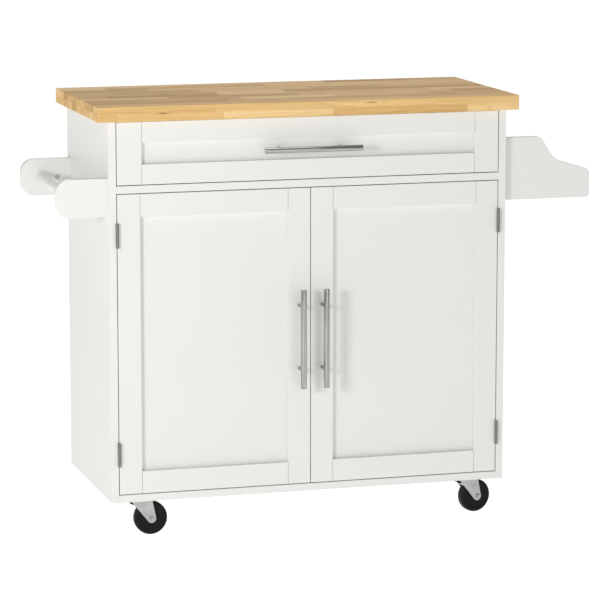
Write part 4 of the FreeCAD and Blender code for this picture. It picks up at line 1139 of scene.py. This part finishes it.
# The brake pedal's pivot, from the swivel's axis, close under the fork's top sheet.
LEVER_PIVOT = Vector((2.0 * MM, 0.0, FORK_TOP - FORK_SHEET - 5.7 * MM))
LEVER_HALF = 9.5 * MM
LEVER_OUTLINE = ((2.5, 2.8), (-11.5, 3.2), (-13.0, 5.0), (-18.0, 4.2), (-20.8, 2.2),
                 (-19.5, 0.5), (-9.0, -4.0), (-6.0, -8.5), (-2.5, -5.5), (2.5, -2.0))
LEVER_EDGE = 0.8 * MM
LEVER_PIN_RADIUS = 2 * MM
LEVER_PIN_PROUD = 0.4 * MM
PEDAL_CAP_OUTLINE = ((-12.6, 3.9), (-13.3, 5.4), (-18.2, 4.6), (-21.2, 2.3), (-19.7, 0.1),
                     (-12.6, -2.9))
PEDAL_CAP_PROUD = 0.4 * MM
PEDAL_CAP_EDGE = 1.0 * MM


def pedal_slab(mesh, outline, half_width):
    """Adds a flat-sided piece of the pedal to a mesh; the outline is from the pivot, in mm."""
    slab(mesh, *([mesh.verts.new(LEVER_PIVOT + Vector((x * MM, y, z * MM))) for x, z in outline]
                 for y in (half_width, -half_width)))
    bmesh.ops.recalc_face_normals(mesh, faces=mesh.faces)


for name in ("front_left", "front_right"):
    mesh = bmesh.new()
    pedal_slab(mesh, LEVER_OUTLINE, LEVER_HALF)
    reach = FORK_OUTER_HALF + LEVER_PIN_PROUD
    turned(mesh, rounded_rod(2 * reach, LEVER_PIN_RADIUS, LEVER_PIN_PROUD),
           LEVER_PIVOT - Vector((0, reach, 0)), (0, 1, 0), 32)
    mesh.transform(caster_place(name))
    piece(f"caster_{name}_brake_pedal", mesh, zinc_finish, f"caster_{name}_brake",
          [f"caster_{name}_brake_lever"], LEVER_EDGE, 3)
    mesh = bmesh.new()
    pedal_slab(mesh, PEDAL_CAP_OUTLINE, LEVER_HALF + PEDAL_CAP_PROUD)
    mesh.transform(caster_place(name))
    piece(f"caster_{name}_pedal_cap", mesh, black_finish, f"caster_{name}_brake",
          (), PEDAL_CAP_EDGE, 3)


# Studio.  A plain pale floor that glows a little, an even backdrop, soft square lamps at the
# front left, in front, above and behind, and the camera.

# The camera's place in metres, its turn and tilt in degrees, and lens and sensor in mm.
CAMERA_PLACE = (-1.7638, -6.0478, 1.5063)
CAMERA_YAW = 16.179
CAMERA_PITCH = -9.645
CAMERA_LENS = 185.18
CAMERA_SENSOR = 36.0
CAMERA_REACH = 100.0
FLOOR_HALF = 30.0
FLOOR_GLOW = 0.92
FLOOR_COLOURS = ((0.40, 0.40, 0.40), (0.38, 0.38, 0.38))
FLOOR_GLOW_COLOURS = ((1.0, 1.0, 1.0), (0.99, 0.99, 0.99))
BACKDROP_STRENGTH = 0.31
# Each lamp's name, place, the point that it looks at, size in metres and power in watts.
LAMPS = (
    ("left_lamp", (-2.42, -2.14, 1.10), (0.0, -0.1, 0.5), 0.50, 37.0),
    ("front_lamp", (0.3, -6.0, 1.6), (0.0, 0.0, 0.5), 3.0, 38.0),
    ("top_lamp", (0.0, 0.1, 3.6), (0.0, 0.1, 0.9), 1.6, 27.0),
    ("back_lamp", (1.0, 5.5, 1.9), (0.0, 0.0, 0.7), 3.0, 30.0),
)

floor_data = bpy.data.meshes.new("floor")
floor_data.from_pydata([(-FLOOR_HALF, -FLOOR_HALF, 0), (FLOOR_HALF, -FLOOR_HALF, 0),
                        (FLOOR_HALF, FLOOR_HALF, 0), (-FLOOR_HALF, FLOOR_HALF, 0)],
                       [], [(0, 1, 2, 3)])
floor = new_object("floor", floor_data)
floor_finish = Finish("pale_floor", {"Roughness": 0.9, "Specular IOR Level": 0.1,
                                     "Emission Strength": FLOOR_GLOW})
floor_cloud = floor_finish.noise(floor_finish.place(), 1.3, 3.0)
floor_finish.set("Base Color", floor_finish.mix(floor_cloud, *FLOOR_COLOURS))
floor_finish.set("Emission Color", floor_finish.mix(floor_cloud, *FLOOR_GLOW_COLOURS))
floor_data.materials.append(floor_finish.material)

world = bpy.data.worlds.new("studio")
bpy.context.scene.world = world
world.use_nodes = True
backdrop = world.node_tree.nodes["Background"]
backdrop.inputs["Color"].default_value = (1.0, 1.0, 1.0, 1.0)
backdrop.inputs["Strength"].default_value = BACKDROP_STRENGTH

for name, place, target, size, power in LAMPS:
    data = bpy.data.lights.new(name, "AREA")
    data.shape = "SQUARE"
    data.size = size
    data.energy = power
    lamp = new_object(name, data)
    lamp.location = place
    lamp.rotation_euler = (Vector(target) - Vector(place)).to_track_quat("-Z", "Y").to_euler()

camera_data = bpy.data.cameras.new("camera")
camera_data.lens = CAMERA_LENS
camera_data.sensor_width = CAMERA_SENSOR
camera_data.clip_end = CAMERA_REACH
camera = new_object("camera", camera_data)
camera.location = CAMERA_PLACE
camera.rotation_euler = (math.radians(90 + CAMERA_PITCH), 0, math.radians(-CAMERA_YAW))
bpy.context.scene.camera = camera
bpy.context.scene.view_settings.view_transform = "Standard"
